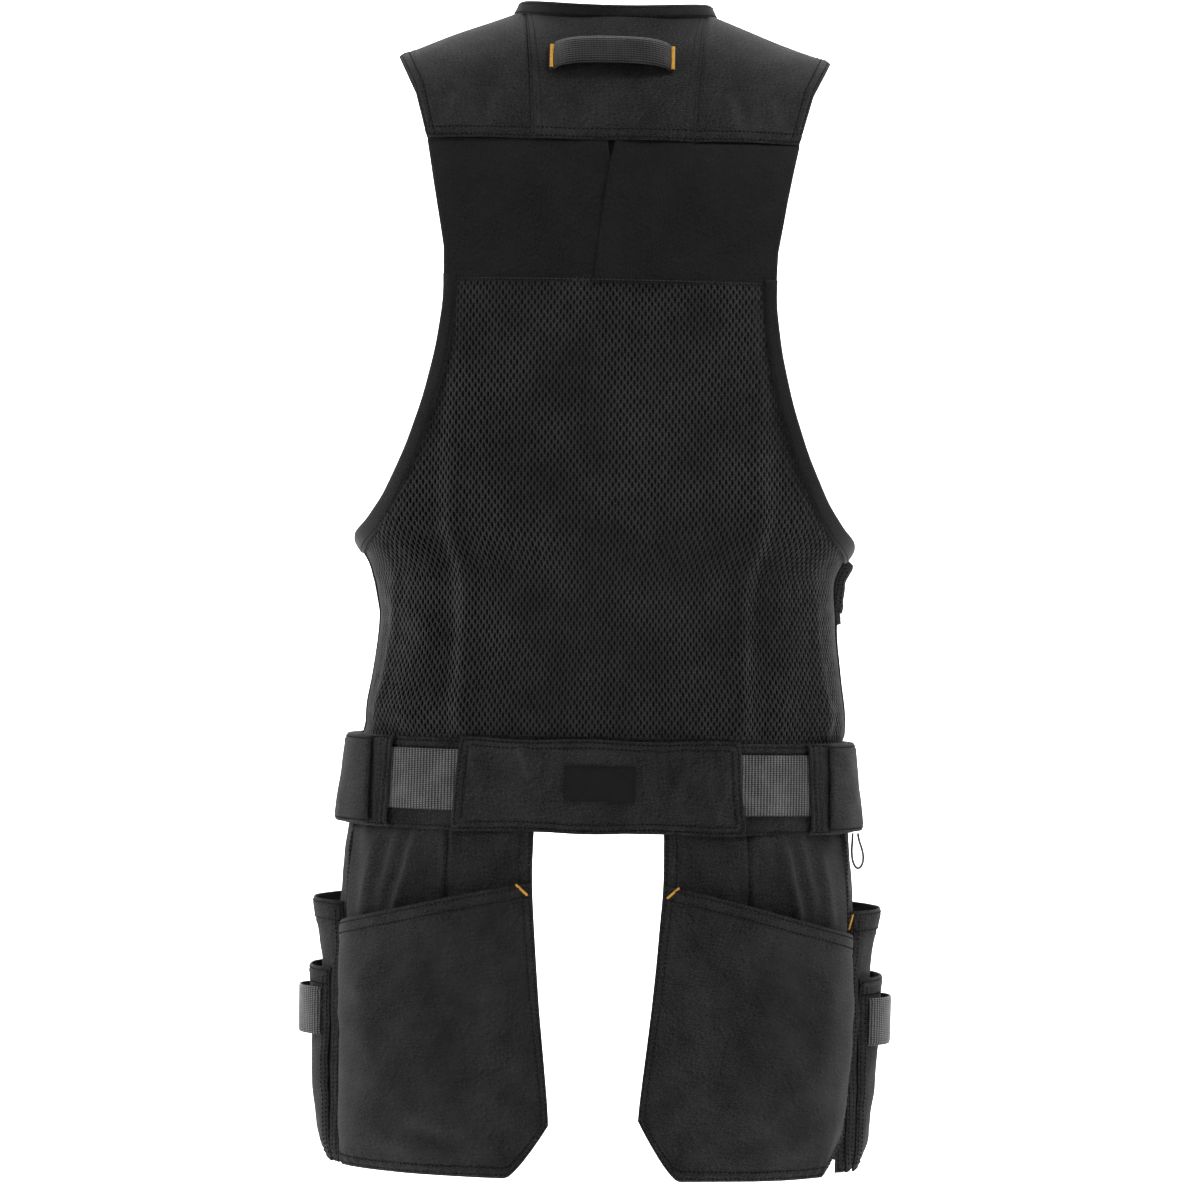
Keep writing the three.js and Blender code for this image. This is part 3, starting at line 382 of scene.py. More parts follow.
def woven(name, dark, light, rib, rib_angle, rib_depth, roughness, sheen, patch=0.05, regular=0.25):
    """Cloth with ribs: a wave of the given rib in metres at an angle on the UV map, crossed by finer
    threads, and streaky noise along the ribs. regular is the share of the waves in it. A slow noise
    the size of patch in metres makes the colour uneven."""
    n = Nodes(name)
    place = n.add("UVMap", uv_map="cloth").outputs["UV"]
    turned = n.add("Mapping", {"Rotation": (0, 0, rib_angle)}, {"Vector": place}).outputs["Vector"]
    ribs = n.wave(turned, "X", rib, 0.6, **{"Detail": 1.0, "Detail Scale": 2.0})
    threads = n.wave(turned, "Y", 0.55 * rib, 0.4)
    streaks = n.add("Mapping", {"Scale": (1.0, 0.3, 1.0)}, {"Vector": turned}).outputs["Vector"]
    fuzz = n.math("MULTIPLY", n.noise(streaks, 1300.0, 3.0), 2.2 - regular)
    weave = n.math("MULTIPLY", n.math("MULTIPLY", ribs, threads), regular)
    weave = n.math("ADD", weave, fuzz)
    tone = n.add("MapRange", {"From Min": 0.65, "From Max": 1.35}, {"Value": weave}).outputs[0]
    cloud = n.noise(place, 1 / patch, 4.0, Roughness=0.6)
    limits = {"From Min": 0.3, "From Max": 0.7, "To Min": -0.22, "To Max": 0.22}
    clouds = n.add("MapRange", limits, {"Value": cloud}).outputs[0]
    n.ramp(n.math("ADD", tone, clouds, use_clamp=True), dark, light)
    n.bump(weave, 0.55, rib_depth)
    return n.finish(roughness, 0.16, **{"Sheen Weight": sheen, "Sheen Roughness": 0.45})


TWILL_WALL = 1.7
TWILL_RIB, TWILL_ANGLE = 0.0013, math.radians(52)
TWILL = woven("twill", grey(0.0025, 1.03), grey(0.043, 1.03), TWILL_RIB, TWILL_ANGLE, 0.0005, 0.85, 0.03,
              regular=0.6)
TWILL_BACK = woven("twill_back", grey(0.0015), grey(0.006), TWILL_RIB, TWILL_ANGLE, 0.0003, 0.9, 0.0)


def line_on(grid, side, distance):
    """A line on the cloth that runs beside one of its edges at a distance, with the normals there."""
    turned, facing = grid, outward(grid)
    if side in ("left", "right"):
        turned, facing = turned.transpose(1, 0, 2), facing.transpose(1, 0, 2)
    if side in ("bottom", "right"):
        turned, facing = turned[::-1], facing[::-1]
    reach = lengths(turned)[1]
    low = np.clip((reach < distance).sum(0) - 1, 0, len(turned) - 2)
    column = np.arange(turned.shape[1])
    step = np.maximum(reach[low + 1, column] - reach[low, column], 1e-6)
    share = np.clip((distance - reach[low, column]) / step, 0, 1)[:, None]
    return tuple(part[low, column] * (1 - share) + part[low + 1, column] * share for part in (turned, facing))


def stitches_along(line, normal, pitch=3.5, length=2.7, radius=0.58, start=2.0, end=2.0):
    """Centres, directions, normals and sizes of stitches spaced evenly along a line."""
    reach = np.concatenate([[0], np.cumsum(np.linalg.norm(np.diff(line, axis=0), axis=1))])
    count = int((reach[-1] - start - end) / pitch)
    at = start + pitch * (0.5 + np.arange(count))
    pick = lambda values, where: np.stack([np.interp(where, reach, values[:, k]) for k in range(3)], axis=1)
    heading = pick(line, at + 0.4 * length) - pick(line, at - 0.4 * length)
    return pick(line, at), heading, pick(normal, at), np.full(count, length), np.full(count, radius)


def rows_on(grid, sides, distances, inset=None, **thread):
    """Rows of stitches beside the named edges of a grid. An inset is where they stop short of its
    corners; inset "own" stops each row at its own distance."""
    runs = []
    for side in sides:
        for distance in distances:
            if inset is not None:
                thread["start"] = thread["end"] = distance if inset == "own" else inset
            runs.append(stitches_along(*line_on(grid, side, distance), **thread))
    return runs


def stitch_mesh(name, runs, material):
    """Stitches as one mesh: each is a short six-sided bead of thread, rounded to its ends, half
    sunk in the cloth, lying along its heading."""
    centre, heading, normal, length, radius = (np.concatenate(part) for part in zip(*runs))
    heading /= np.linalg.norm(heading, axis=1, keepdims=True)
    side = np.cross(heading, normal)
    side /= np.linalg.norm(side, axis=1, keepdims=True)
    up = np.cross(side, heading)
    stations = np.array([-0.5, -0.27, 0.27, 0.5])
    swell = np.array([0.35, 1.0, 1.0, 0.35])
    sink = np.array([-0.55, 0.25, 0.25, -0.55])
    k = np.arange(6)
    out = np.cos(k * np.pi / 3)[None, :] * swell[:, None]
    rise = np.sin(k * np.pi / 3)[None, :] * swell[:, None] + sink[:, None]
    points = (
        centre[:, None, None]
        + (length[:, None] * stations)[:, :, None, None] * heading[:, None, None]
        + (radius[:, None, None] * out)[..., None] * side[:, None, None]
        + (radius[:, None, None] * rise)[..., None] * up[:, None, None]
    )
    ring_quads = np.stack([k, (k + 1) % 6, 6 + (k + 1) % 6, 6 + k], axis=-1)
    caps = np.array([[3, 2, 1, 0], [5, 4, 3, 0], [18, 19, 20, 21], [18, 21, 22, 23]])
    template = np.concatenate([ring_quads, ring_quads + 6, ring_quads + 12, caps])
    faces = (24 * np.arange(len(centre)))[:, None, None] + template
    dress(new_piece(name, points.reshape(-1, 3), faces.reshape(-1, 4)), material)


def thread_material(name, dark, light):
    """Sewing thread: two colours in fine turns across its length, by noise on Object coordinates."""
    n = Nodes(name)
    twist = n.noise(n.add("TexCoord").outputs["Object"], 1800.0, 2.0)
    n.ramp(twist, dark, light, 0.35, 0.65)
    n.bump(twist, 0.4, 0.0001)
    return n.finish(0.75, 0.1)


BLACK_THREAD = thread_material("black_thread", grey(0.0015), grey(0.012))
GOLD_THREAD = thread_material("gold_thread", (0.42, 0.17, 0.02, 1), (1.0, 0.58, 0.11, 1))


def neck_seam_height(x):
    """Height of the seam of the neck band over x on the back."""
    return -1 + (shoulder_line(np.array(NECK_HALF)) + 1) * (np.abs(x) / NECK_HALF) ** 2


u, v = shares(61, 46, -1)
yoke_x = u * ((1 - v) * YOKE_TOP_X + v * YOKE_FOOT_X) + 0 * v
yoke_top = angle_at(yoke_x, neck_seam_height(yoke_x) + 3)
yoke_base = over_shoulder(yoke_x, yoke_top * (1 - v) + angle_at(yoke_x, YOKE_FOOT) * v)
edge = from_edges(yoke_base)
yoke = lifted(
    yoke_base,
    2.2
    + 0.35 * sewn(nearest(edge, "left", "right"), rows=(2.2, 9.0), hem=11, height=0.2, roll=0.6)
    + sewn(edge["bottom"], rows=(2.2, 9.0), hem=11)
    + 0.9 * wander(yoke_x, yoke_base[..., 2], 70, 3)
    + folds(yoke_base, 1, ((-24, -96, -20, -62, 6, -1.0), (12, -96, 10, -58, 7, 0.9), (36, -95, 30, -66, 5, -0.8))),
)
cloth("yoke", yoke, TWILL_WALL, TWILL, ["back_yoke"], ["shoulder_cloth_left", "shoulder_cloth_right"])
yoke_runs = rows_on(yoke, ["bottom"], (2.2, 9.0)) + rows_on(yoke, ["left", "right"], (2.2, 9.0), radius=0.32)
stitch_mesh("yoke_stitches", yoke_runs, BLACK_THREAD)

# --- Shoulder panels: twill straps that run from the yoke seam over the shoulder to
# the front seam. Their armhole edges are turned in and stitched twice.

TIP_Z = -27.64
RIDGE_Z = 6.585
FRONT_NECK_Z = -104.5
ARMHOLE_DEPTH = 384.0

# Armhole: free edge and binding seam, as shares down the armhole and of the half chest
ARMHOLE = np.array([
    [0, 0.847, 0, 0.79],
    [0.086, 0.773, 0.086, 0.718],
    [0.198, 0.714, 0.198, 0.659],
    [0.307, 0.675, 0.307, 0.62],
    [0.409, 0.643, 0.409, 0.588],
    [0.51, 0.636, 0.51, 0.581],
    [0.612, 0.663, 0.617, 0.606],
    [0.714, 0.709, 0.721, 0.653],
    [0.815, 0.773, 0.828, 0.719],
    [0.914, 0.857, 0.935, 0.805],
    [0.961, 0.921, 0.984, 0.875],
    [0.988, 0.985, 1.016, 0.965],
    [1, 1, 1.034, 1],
])

# Folds of a shoulder panel behind: x and z of the start and of the end, width, height
SHOULDER_FOLDS = (
    (92, -92, 88, -62, 5, 1.6),
    (104, -92, 101, -70, 4, -1.5),
    (124, -91, 121, -64, 5, 1.5),
    (136, -90, 134, -74, 4, -1.2),
)


def armhole_edge(z):
    """Distance of the armhole's edge from the middle of the back at a height."""
    return CHEST_HALF * np.interp((TIP_Z - z) / ARMHOLE_DEPTH, ARMHOLE[:, 0], ARMHOLE[:, 1])


def front_neck_seam(z):
    """Distance of the neck band's seam from the middle of the front at a height."""
    return 9 + 70.5 * np.clip((z - FRONT_NECK_Z) / (RIDGE_Z - FRONT_NECK_Z), 0, 1) ** 0.75


def strap_edge(ridge, stop, x_behind, x_in_front):
    """One long edge of a strap: stop runs from 0 behind over the ridge at 1 to 2 in front. The
    angle grows evenly to the ridge, and x is read at the height that it gives."""
    top = ridge - CHEST_Z
    behind, in_front = np.arcsin(46.5 / top), np.arcsin(68 / top)
    angle = np.where(
        stop <= 1,
        behind + (np.pi / 2 - behind) * stop,
        np.pi - in_front - (np.pi / 2 - in_front) * (2 - stop),
    )
    z = top * np.sin(angle) + CHEST_Z
    return np.where(stop <= 1, x_behind(z), x_in_front(z)), angle


def strap_inner_behind(z):
    """The yoke seam up to the neck, and the neck seam above it."""
    round_neck = NECK_HALF * np.sqrt(np.clip((z + 1) / (RIDGE_Z + 1), 0, 1))
    return np.where(z > 5.135, round_neck, YOKE_FOOT_X + 8.5 * (z + 100) / 100)


u, v = shares(46, 131)
inner_x, inner_angle = strap_edge(RIDGE_Z, 2 * v, strap_inner_behind, front_neck_seam)
outer_x, outer_angle = strap_edge(TIP_Z, 2 * v, armhole_edge, armhole_edge)
strap_x = (inner_x - 3.0) * (1 - u) + outer_x * u
strap_base = over_shoulder(strap_x, inner_angle * (1 - u) + outer_angle * u)
for word, side in SIDES:
    base = strap_base * [side, 1, 1]
    edge = from_edges(base)
    strap = lifted(
        base,
        2.4
        - 2.1 * fade(edge["left"], 3.0, 0.4)
        + sewn(edge["right"], rows=(2.5, 9.0), hem=11)
        + sewn(edge["top"], rows=(2.2, 9.0), hem=11)
        + sewn(edge["bottom"])
        + 0.9 * wander(base[..., 0], base[..., 1] + base[..., 2], 60, 11 + side)
        + folds(base, side, SHOULDER_FOLDS),
    )
    cloth(f"shoulder_cloth_{word}", strap, TWILL_WALL, TWILL, [f"shoulder_panel_{word}"], ["yoke"])
    strap_runs = rows_on(strap, ["right"], (2.5, 9.0)) + rows_on(strap, ["top"], (2.2, 9.0))
    stitch_mesh(f"shoulder_stitches_{word}", strap_runs, BLACK_THREAD)

# --- Neck binding: a strip of smooth tape folded over the neck edge, from one front
# edge round the back to the other, and sewn down close to its seam.

TAPE = woven("tape", grey(0.003), grey(0.016), 0.0008, 0.0, 0.0002, 0.7, 0.03)


def off_surface(surface, a, b, amount, step=0.01):
    """Points of a surface of two parameters moved off it by an amount along its normal."""
    along = surface(a + step, b) - surface(a - step, b)
    normal = np.cross(along, surface(a, b + step) - surface(a, b - step))
    normal /= np.maximum(np.linalg.norm(normal, axis=-1, keepdims=True), 1e-9)
    point = surface(a, b)
    facing = np.sign((normal * from_core(point)).sum(-1, keepdims=True))
    return point + normal * facing * (amount * np.ones(point.shape[:-1]))[..., None]


def band_section(width, low, high, count=16):
    """A rounded flat section: distances across the tape and lifts off the cloth, in a closed loop."""
    swing = 2 * np.pi * np.arange(count) / count
    across = 0.5 * width * (1 + power_wave(np.cos(swing)))
    return across, 0.5 * (low + high) + 0.5 * (high - low) * power_wave(np.sin(swing))


def tube(name, rings, material, nodes):
    """A closed tube through rings of points: rows are stations along it, columns go round. Strips
    of quads close its two ends."""
    stations, count = rings.shape[:2]
    k, j = np.arange(count), np.arange(count // 2 - 1)
    ring_quads = np.stack([k, (k + 1) % count, count + (k + 1) % count, count + k], axis=-1)
    wall = ((count * np.arange(stations - 1))[:, None, None] + ring_quads).reshape(-1, 4)
    cap = np.stack([j, count - 1 - j, count - 2 - j, j + 1], axis=-1)
    faces = np.concatenate([wall, cap, cap[:, ::-1] + count * (stations - 1)])
    points, middle = rings.reshape(-1, 3), rings.mean(axis=1)
    away = points[wall[:, 0]] - np.repeat(middle[:-1], count, axis=0)
    if (quad_normals(points, wall) * away).sum() < 0:
        faces = faces[:, ::-1]
    steps = [np.linalg.norm(np.diff(line, axis=0), axis=1) for line in (middle, rings[stations // 2])]
    along, round_it = (np.concatenate([[0], np.cumsum(step)]) for step in steps)
    uv = np.stack(np.broadcast_arrays(along[:, None], round_it[None, :]), axis=-1).reshape(-1, 2)
    return dress(new_piece(name, points, faces, uv), material, nodes)


def neck_line(band, stop):
    """Points round the neck: stop is 0 at the centre back, 1 on the shoulder line and 2 at the foot
    of the front opening, negative to the right. band is the distance from the free edge."""
    size = np.minimum(np.abs(stop), 2)
    half = 70 + band
    ridge = shoulder_line(half)
    sweep = np.sin(np.pi / 2 * np.minimum(size, 1))
    left = np.cos(np.pi / 2 * np.clip(size - 1, 0, 1))
    behind = size <= 1
    x = np.where(behind, half * sweep, 9 + (half - 9) * left**0.75)
    z_back = (6 - band * 7 / 9.5) * (1 - sweep**2) + ridge * sweep**2
    z = np.where(behind, z_back, (-95 - band) * (1 - left) + ridge * left)
    angle = angle_at(x, z)
    point = over_shoulder(x, np.where(behind, angle, np.pi - angle))
    return point * np.stack([np.where(stop < 0, -1.0, 1.0), 1 + 0 * x, 1 + 0 * x], axis=-1)


def neck_stand(height, stop):
    """Points of the neck band, which rises by a height from its seam. Behind and beside the neck it
    stands nearly upright, and down the front it lies along the body form."""
    seam = neck_line(9.5 + 0 * height, stop)
    along = neck_line(0 * height, stop) - seam
    along /= np.linalg.norm(along, axis=-1, keepdims=True)
    upright = np.clip(1.75 - np.abs(stop), 0, 1)[..., None] * 0.75
    way = along * (1 - upright) + np.array([0, 0.12, 1]) * upright
    return seam + way / np.linalg.norm(way, axis=-1, keepdims=True) * height[..., None]


height, lift = band_section(11.6, -1.9, 1.7)
stop = np.linspace(-2, 2, 241)[:, None]
stop = stop + 0.004 * (np.abs(np.abs(stop) - 1) < 1e-6)
height, lift, stop = np.broadcast_arrays(height[None, :] + 0.3, lift[None, :] + 1.4, stop)
tube("neck_tape", off_surface(neck_stand, height, stop, lift, 0.03), TAPE, ["neck_binding"])
stop = np.linspace(-1.95, 1.95, 300)
for name, row in (("lower", 2.4), ("upper", 9.4)):
    seam_line, above = (off_surface(neck_stand, row + 0 * stop, stop, lift, 0.03) for lift in (2.95, 5))
    seam_runs = [stitches_along(seam_line, above - seam_line, 3.4, 2.6, 0.36)]
    stitch_mesh(f"neck_stitches_{name}", seam_runs, BLACK_THREAD)

# --- Hanger loop: a strip of ribbed webbing whose ends lie on the yoke and whose middle
# stands off it as a handle. A gold bar tack in zigzag holds each end.

WEBBING = woven("webbing", grey(0.03, 1.02), grey(0.24, 1.02), 0.0026, 0.0, 0.0009, 0.6, 0.1, 0.03, 1.3)
DARK_WEBBING = woven("dark_webbing", grey(0.008), grey(0.07), 0.0021, math.pi / 2, 0.0009, 0.6, 0.08, 0.03, 1.3)
HANGER_X, HANGER_HALF = 2.0, 48.5


def on_yoke(x, z):
    """Points of the body form under the yoke."""
    return over_shoulder(x, angle_at(x, z))


u, v = shares(91, 16, -1)
bow = 8.6 * np.clip(1 - (np.abs(u) / 0.93) ** 3.2, 0, 1) ** 0.62
sag = 1.0 * (1 - u**2)
handle_base = on_yoke(HANGER_HALF * u + HANGER_X + 0 * v, -25.8 + sag - 20.6 * v)
handle = lifted(handle_base, 4.9 + bow - 0.9 * (2 * np.abs(v - 0.5)) ** 6)
cloth("hanger_webbing", handle, 2.0, DARK_WEBBING, ["hanger_loop"], edge=0.6)


def bar_tack(centre, along, across, normal, length, width, pitch=0.72, radius=0.46):
    """Stitches of a bar tack: a dense zigzag of threads that cross the bar, each turned a little."""
    count = int(length / pitch)
    at = (np.arange(count) - (count - 1) / 2) * pitch
    lean = np.where(np.arange(count) % 2 == 0, 0.1, -0.1)[:, None]
    along, across, normal = (np.array(a, float) / np.linalg.norm(a) for a in (along, across, normal))
    normals = np.tile(normal, (count, 1))
    return np.array(centre) + at[:, None] * along, across + lean * along, normals, np.full(count, width), np.full(count, radius)


tacks = []
for side in (-1, 1):
    spot = on_yoke(np.array([side * 47.2 + HANGER_X]), np.array([-36.4]))[0]
    out = np.array([0, 0.85, 0.53])
    tacks.append(bar_tack(spot + out * 5.2, (0, -0.53, 0.85), (1, 0, 0), out, 23, 3.2))
stitch_mesh("hanger_tacks", tacks, GOLD_THREAD)

# --- Stretch panels: smooth elastic cloth under the yoke, in two halves that lap over
# a pleat in the middle, and the cloth that shows in the pleat's opening.

STRETCH = woven("stretch", grey(0.003), grey(0.0135), 0.0009, 0.4, 0.0002, 0.8, 0.03)
STRETCH_THREAD = thread_material("stretch_thread", grey(0.012), grey(0.05))
STRETCH_TOP, STRETCH_FOOT = -93.0, -211.0
# Share down the panels, and x of the pleat's right and left edge
PLEAT = np.array([[0, -3.1, 5.2], [0.2, 2.0, 2.4], [0.34, 4.5, 4.5], [0.6, 8.1, 8.1], [1, 12.9, 12.9]])
STRETCH_FOLDS = ((70, -112, 95, -205, 20, 1.6), (40, -205, 120, -120, 24, -1.4))

u, v = shares(66, 56)
stretch_z = STRETCH_TOP * (1 - v) + STRETCH_FOOT * v
pleat_right, pleat_left = (np.interp(v, PLEAT[:, 0], PLEAT[:, k]) for k in (1, 2))
for word, side in SIDES:
    start = pleat_right if side < 0 else pleat_left - 5.5 * np.clip((v - 0.14) / 0.2, 0, 1)
    x = start * (1 - u) + side * armhole_edge(stretch_z) * u
    base = form(turn_of_x(x, stretch_z), stretch_z)
    edge = from_edges(base)
    pleat_edge = (2.9 if side < 0 else 0.0) * bell(edge["left"], 13) - 1.5 * bell(edge["left"], 0.9)
    panel = lifted(
        base,
        1.5
        + pleat_edge * np.clip(0.15 + 3 * v, 0, 1)
        + sewn(edge["right"])
        + sewn(edge["bottom"], rows=(1.8,), roll=0.6)
        - 2.6 * fade(edge["top"], 7.5, 0.8)
        + 0.8 * wander(x, stretch_z, 80, 21 + side)
        + folds(base, side, STRETCH_FOLDS),
    )
    cloth(f"stretch_cloth_{word}", panel, 1.4, STRETCH, [f"stretch_panel_{word}"], ["yoke"])
    runs = rows_on(panel, ["bottom"], (1.8,), pitch=3.2, length=3.0, radius=0.5)
    stitch_mesh(f"stretch_stitches_{word}", runs, STRETCH_THREAD)

u, v = shares(20, 30, -1)
under_z = -92 * (1 - v) - 208.5 * v + 0 * u
under_base = form(turn_of_x(30 * u + 0 * v, under_z), under_z)
underlay = lifted(under_base, -1.5 - 3.0 * fade(-under_z, 99.5, 0.8) + 0.4 * wander(30 * u, under_z, 40, 5))
cloth("pleat_cloth", underlay, 1.2, STRETCH, ["pleat_underlay"],
      ["stretch_cloth_left", "stretch_cloth_right"])

# --- Mesh back: warp knitted net from the stretch panels to the waistband and round to
# the side seams. Its holes are real, so light shows through beside the armholes.

MESH_TOP = -209.5
ARMPIT_Z = -425.0


def smooth_armhole():
    """The armhole's edge and seam from the back, over the armpit at 0, to the front, as heights and
    turns against a running stop. The table is mirrored in front, then averaged over a bell curve."""
    row = np.linspace(0, 12, 601)
    out = [np.concatenate([row - 12, 12 - row[-2::-1]])]
    for k in range(4):
        values = np.interp(row, np.arange(13), ARMHOLE[:, k])
        if k in (0, 2):
            values = TIP_Z - ARMHOLE_DEPTH * values
            mirrored = values
        else:
            values = np.arcsin(np.clip(values, 0, 1) ** (SQUARENESS / 2))
            mirrored = np.pi - values
        whole = np.concatenate([values, mirrored[-2::-1]])
        out.append(blurred(whole, 11, 30, mode="reflect", reflect_type="odd"))
    return out


RIM_STOP, EDGE_Z, EDGE_TURN, SEAM_Z, SEAM_TURN = smooth_armhole()
back_rim = RIM_STOP <= 0


def seam_turn_at(z):
    """Turn of the armhole seam, or below the armpit of the side seam, on the back half."""
    return np.where(z > ARMPIT_Z, np.interp(-z, -SEAM_Z[back_rim], SEAM_TURN[back_rim]), np.pi / 2)


def side_lean(length, z):
    """How far the cloth at the side seams leans out, less on the left hip and more on the right
    one: a bell curve round each seam, between the armpit and the waistband."""
    window = np.clip((-440 - z) / 30, 0, 1) * np.clip((z + 574) / 14, 0, 1)
    return np.where(length > 0, -5.5, 2.6) * bell(np.abs(length) - length_to(np.pi / 2), 60) * window


def mesh_relief(length, z):
    """How far the net stands off the form: soft folds down both sides from the yoke to the ends of
    the waist panel, a roll above the waistband, and slow unevenness. length is round the body."""
    size = np.abs(length)
    down = np.clip((-z - 215) / 350, 0, 1)
    relief = 1.2 + 1.6 * wander(length, z * 0.6, 120, 41)
    relief += 4.6 * bell(size - 116 - 6 * np.sin(np.pi * down), 9) * np.clip(down * 1.6, 0, 1)
    relief -= 3.2 * bell(size - 137, 14) * np.clip(down * 1.4, 0, 1)
    relief += 2.6 * bell(size - 196 - 30 * (down - 0.7), 8) * np.clip((down - 0.55) * 5, 0, 1)
    relief += 4.5 * bell(z + 545, 14) * (0.75 + 0.25 * np.sin(length / 13) * np.sin(length / 31 + 1))
    relief += 0.9 * np.sin(length / 7.5 + 2 * np.sin(length / 40)) * bell(z + 556, 12)
    relief += 1.6 * bell(z + 500 - 0.5 * (size - 120), 9) * np.clip((size - 90) / 60, 0, 1)
    relief *= 1 - 0.85 * bell(length_to(np.pi / 2) - size, 48)
    relief *= 1 - 0.85 * bell(z + 568, 7) - 0.6 * bell(z - MESH_TOP, 6)
    return relief + side_lean(length, z)


PITCH_ACROSS, PITCH_DOWN = 2.52, 7.2
column, row = np.meshgrid(np.arange(-112, 113), np.arange(-62, 3))
hole_length = column * PITCH_ACROSS
hole_z = MESH_TOP + row * PITCH_DOWN + (column % 2) * PITCH_DOWN / 2 + 0 * hole_length
seam_length = length_to(seam_turn_at(np.clip(hole_z, WAIST_Z, MESH_TOP)))
keep = (np.abs(hole_length) < seam_length + 3.2) & (hole_z > WAIST_Z - 3) & (hole_z < MESH_TOP + 2)
hole_length, hole_z = hole_length[keep], hole_z[keep]

# Each cell of the net is a tall hexagon: its rim runs along the crowns of the threads, and an
# inner ring of six points is the edge of the hole, lower than the crown
rim = np.array([[1.9, 0], [0.62, 0.5], [-0.62, 0.5], [-1.9, 0], [-0.62, -0.5], [0.62, -0.5]]) * [1, PITCH_DOWN]
hole = np.array([[0.9, 0.04], [0.5, 0.26], [-0.36, 0.26], [-0.9, 0.0], [-0.5, -0.27], [0.36, -0.27]]) * [1, PITCH_DOWN]
dice = np.random.default_rng(7)
hole_size = dice.uniform(0.82, 1.1, (len(hole_length), 1, 1))
hole_shift = dice.normal(0, 0.13, (len(hole_length), 1, 2))
middles = np.stack([hole_length, hole_z], axis=-1)[:, None]
flat = np.concatenate([middles + rim, middles + hole * hole_size + hole_shift], axis=1).reshape(-1, 2)
key = np.round(flat * 20).astype(np.int64)
_, first, which = np.unique(key[:, 0] * 100000 + key[:, 1], return_index=True, return_inverse=True)
which = which.reshape(-1, 12)
k = np.arange(6)
net_faces = np.stack([which[:, k], which[:, (k + 1) % 6], which[:, 6 + (k + 1) % 6], which[:, 6 + k]], axis=-1)
net_faces = net_faces.reshape(-1, 4)
on_hole = np.zeros(len(first), bool)
on_hole[which[:, 6:]] = True
net_flat = flat[first]
net_lift = mesh_relief(net_flat[:, 0], net_flat[:, 1]) + np.where(on_hole, -0.8, 0.0)
net_surface = lambda length, z: form(turn_at(length), z)
net_points = off_surface(net_surface, net_flat[:, 0], net_flat[:, 1], net_lift, 0.4)


def net_material():
    """Knitted yarn: a fine chevron of stitches along the wales on the UV map, slightly lustrous. The
    colour falls to near black at the hole rims through the crown attribute, as painted shade in the
    holes, so the crowns of the threads read lighter."""
    n = Nodes("net")
    place = n.add("UVMap", uv_map="cloth").outputs["UV"]
    mixed = n.math("ADD", n.wave(place, "Y", 0.0012, 2.0, Detail=1.0), n.noise(place, 700.0, 2.0))
    tone = n.math("MULTIPLY", mixed, 0.45)
    tone = n.math("MULTIPLY", tone, n.noise(place, 18.0, 3.0), use_clamp=True)
    # painted shade: the tone is cut to near black where the crown attribute is 0, at the hole rims
    tone = n.math("MULTIPLY", tone, n.add("Attribute", attribute_name="crown").outputs["Fac"])
    n.ramp(tone, grey(0.0004), grey(0.07), 0.05, 0.58)
    n.bump(mixed, 0.5, 0.0003)
    return n.finish(0.48, 0.2, **{"Sheen Weight": 0.1})


net = new_piece("net_back", net_points, face_outwards(net_points, net_faces), net_flat)
# crown is 1 on the crowns of the threads and 0 on the hole rims; the net material uses it to paint shade at the rims
crown = net.data.attributes.new("crown", "FLOAT", "POINT")
crown.data.foreach_set("value", np.where(on_hole, 0.0, 1.0).astype(np.float32))
dress(net, net_material(), ["mesh_back"])

# --- Armhole bindings: smooth tape folded over the net's edge, from the stretch panel
# down round the armpit, where it stands out in a point, and up the front.


def rim_line(share, stop):
    """Points between the armhole's free edge, share 0, and its seam, share 1, at a running stop."""
    z = np.interp(stop, RIM_STOP, EDGE_Z) * (1 - share) + np.interp(stop, RIM_STOP, SEAM_Z) * share
    turn = np.interp(stop, RIM_STOP, EDGE_TURN) * (1 - share) + np.interp(stop, RIM_STOP, SEAM_TURN) * share
    return form(turn, z)


across, lift = band_section(1.0, -0.9, 3.4)
stop = np.linspace(-7.46, 10.05, 237)[:, None]
rim_tape = off_surface(rim_line, across[None, :] + 0 * stop, stop + 0 * across, lift[None, :] + 0 * stop, 0.004)
rim_seam = off_surface(rim_line, 0.84 + 0 * stop, stop, 3.25 + 0 * stop, 0.004)[:, 0]
for word, side in SIDES:
    tube(f"armhole_tape_{word}", rim_tape * [side, 1, 1], TAPE, [f"armhole_binding_{word}"])
    line = rim_seam * [side, 1, 1]
    runs = [stitches_along(line, line - line * [0.4, 0, 1], 3.3, 2.6, 0.28)]
    stitch_mesh(f"armhole_stitches_{word}", runs, BLACK_THREAD)

# --- Fronts: a plain twill panel each side, from the shoulder seam to the waistband,
# closed down the middle by a zip. The photograph does not show them.

u, v = shares(56, 121)
front_z = -70 * (1 - v) - 570 * v
inner = np.where(front_z > FRONT_NECK_Z, front_neck_seam(front_z) - 1.8, 9.9)
past_seam = 0.028 * (front_z > -428)
turn = (np.pi - np.abs(turn_of_x(inner, front_z))) * (1 - u) + (np.pi - seam_turn_at(front_z) - past_seam) * u
front_base = form(turn, front_z)
for word, side in SIDES:
    base = front_base * [side, 1, 1]
    edge = from_edges(base)
    front = lifted(
        base,
        1.7
        - 3.0 * fade(-base[..., 2], 80.5, 0.8)
        + sewn(edge["left"], rows=(3.0,), hem=6, height=0.4)
        + sewn(edge["bottom"], rows=(4.0,))
        + 1.0 * wander(base[..., 0], base[..., 2], 110, 31 + side)
        + 1.2 * bell(base[..., 2] + 545, 16)
        + side_lean(side * length_to(turn), front_z),
    )
    cloth(f"front_cloth_{word}", front, TWILL_WALL, TWILL, [f"front_panel_{word}"],
          [f"shoulder_cloth_{word}", "waistband_cloth"], back=TWILL_BACK)
    stitch_mesh(f"front_stitches_{word}", rows_on(front, ["left"], (3.0,)), BLACK_THREAD)


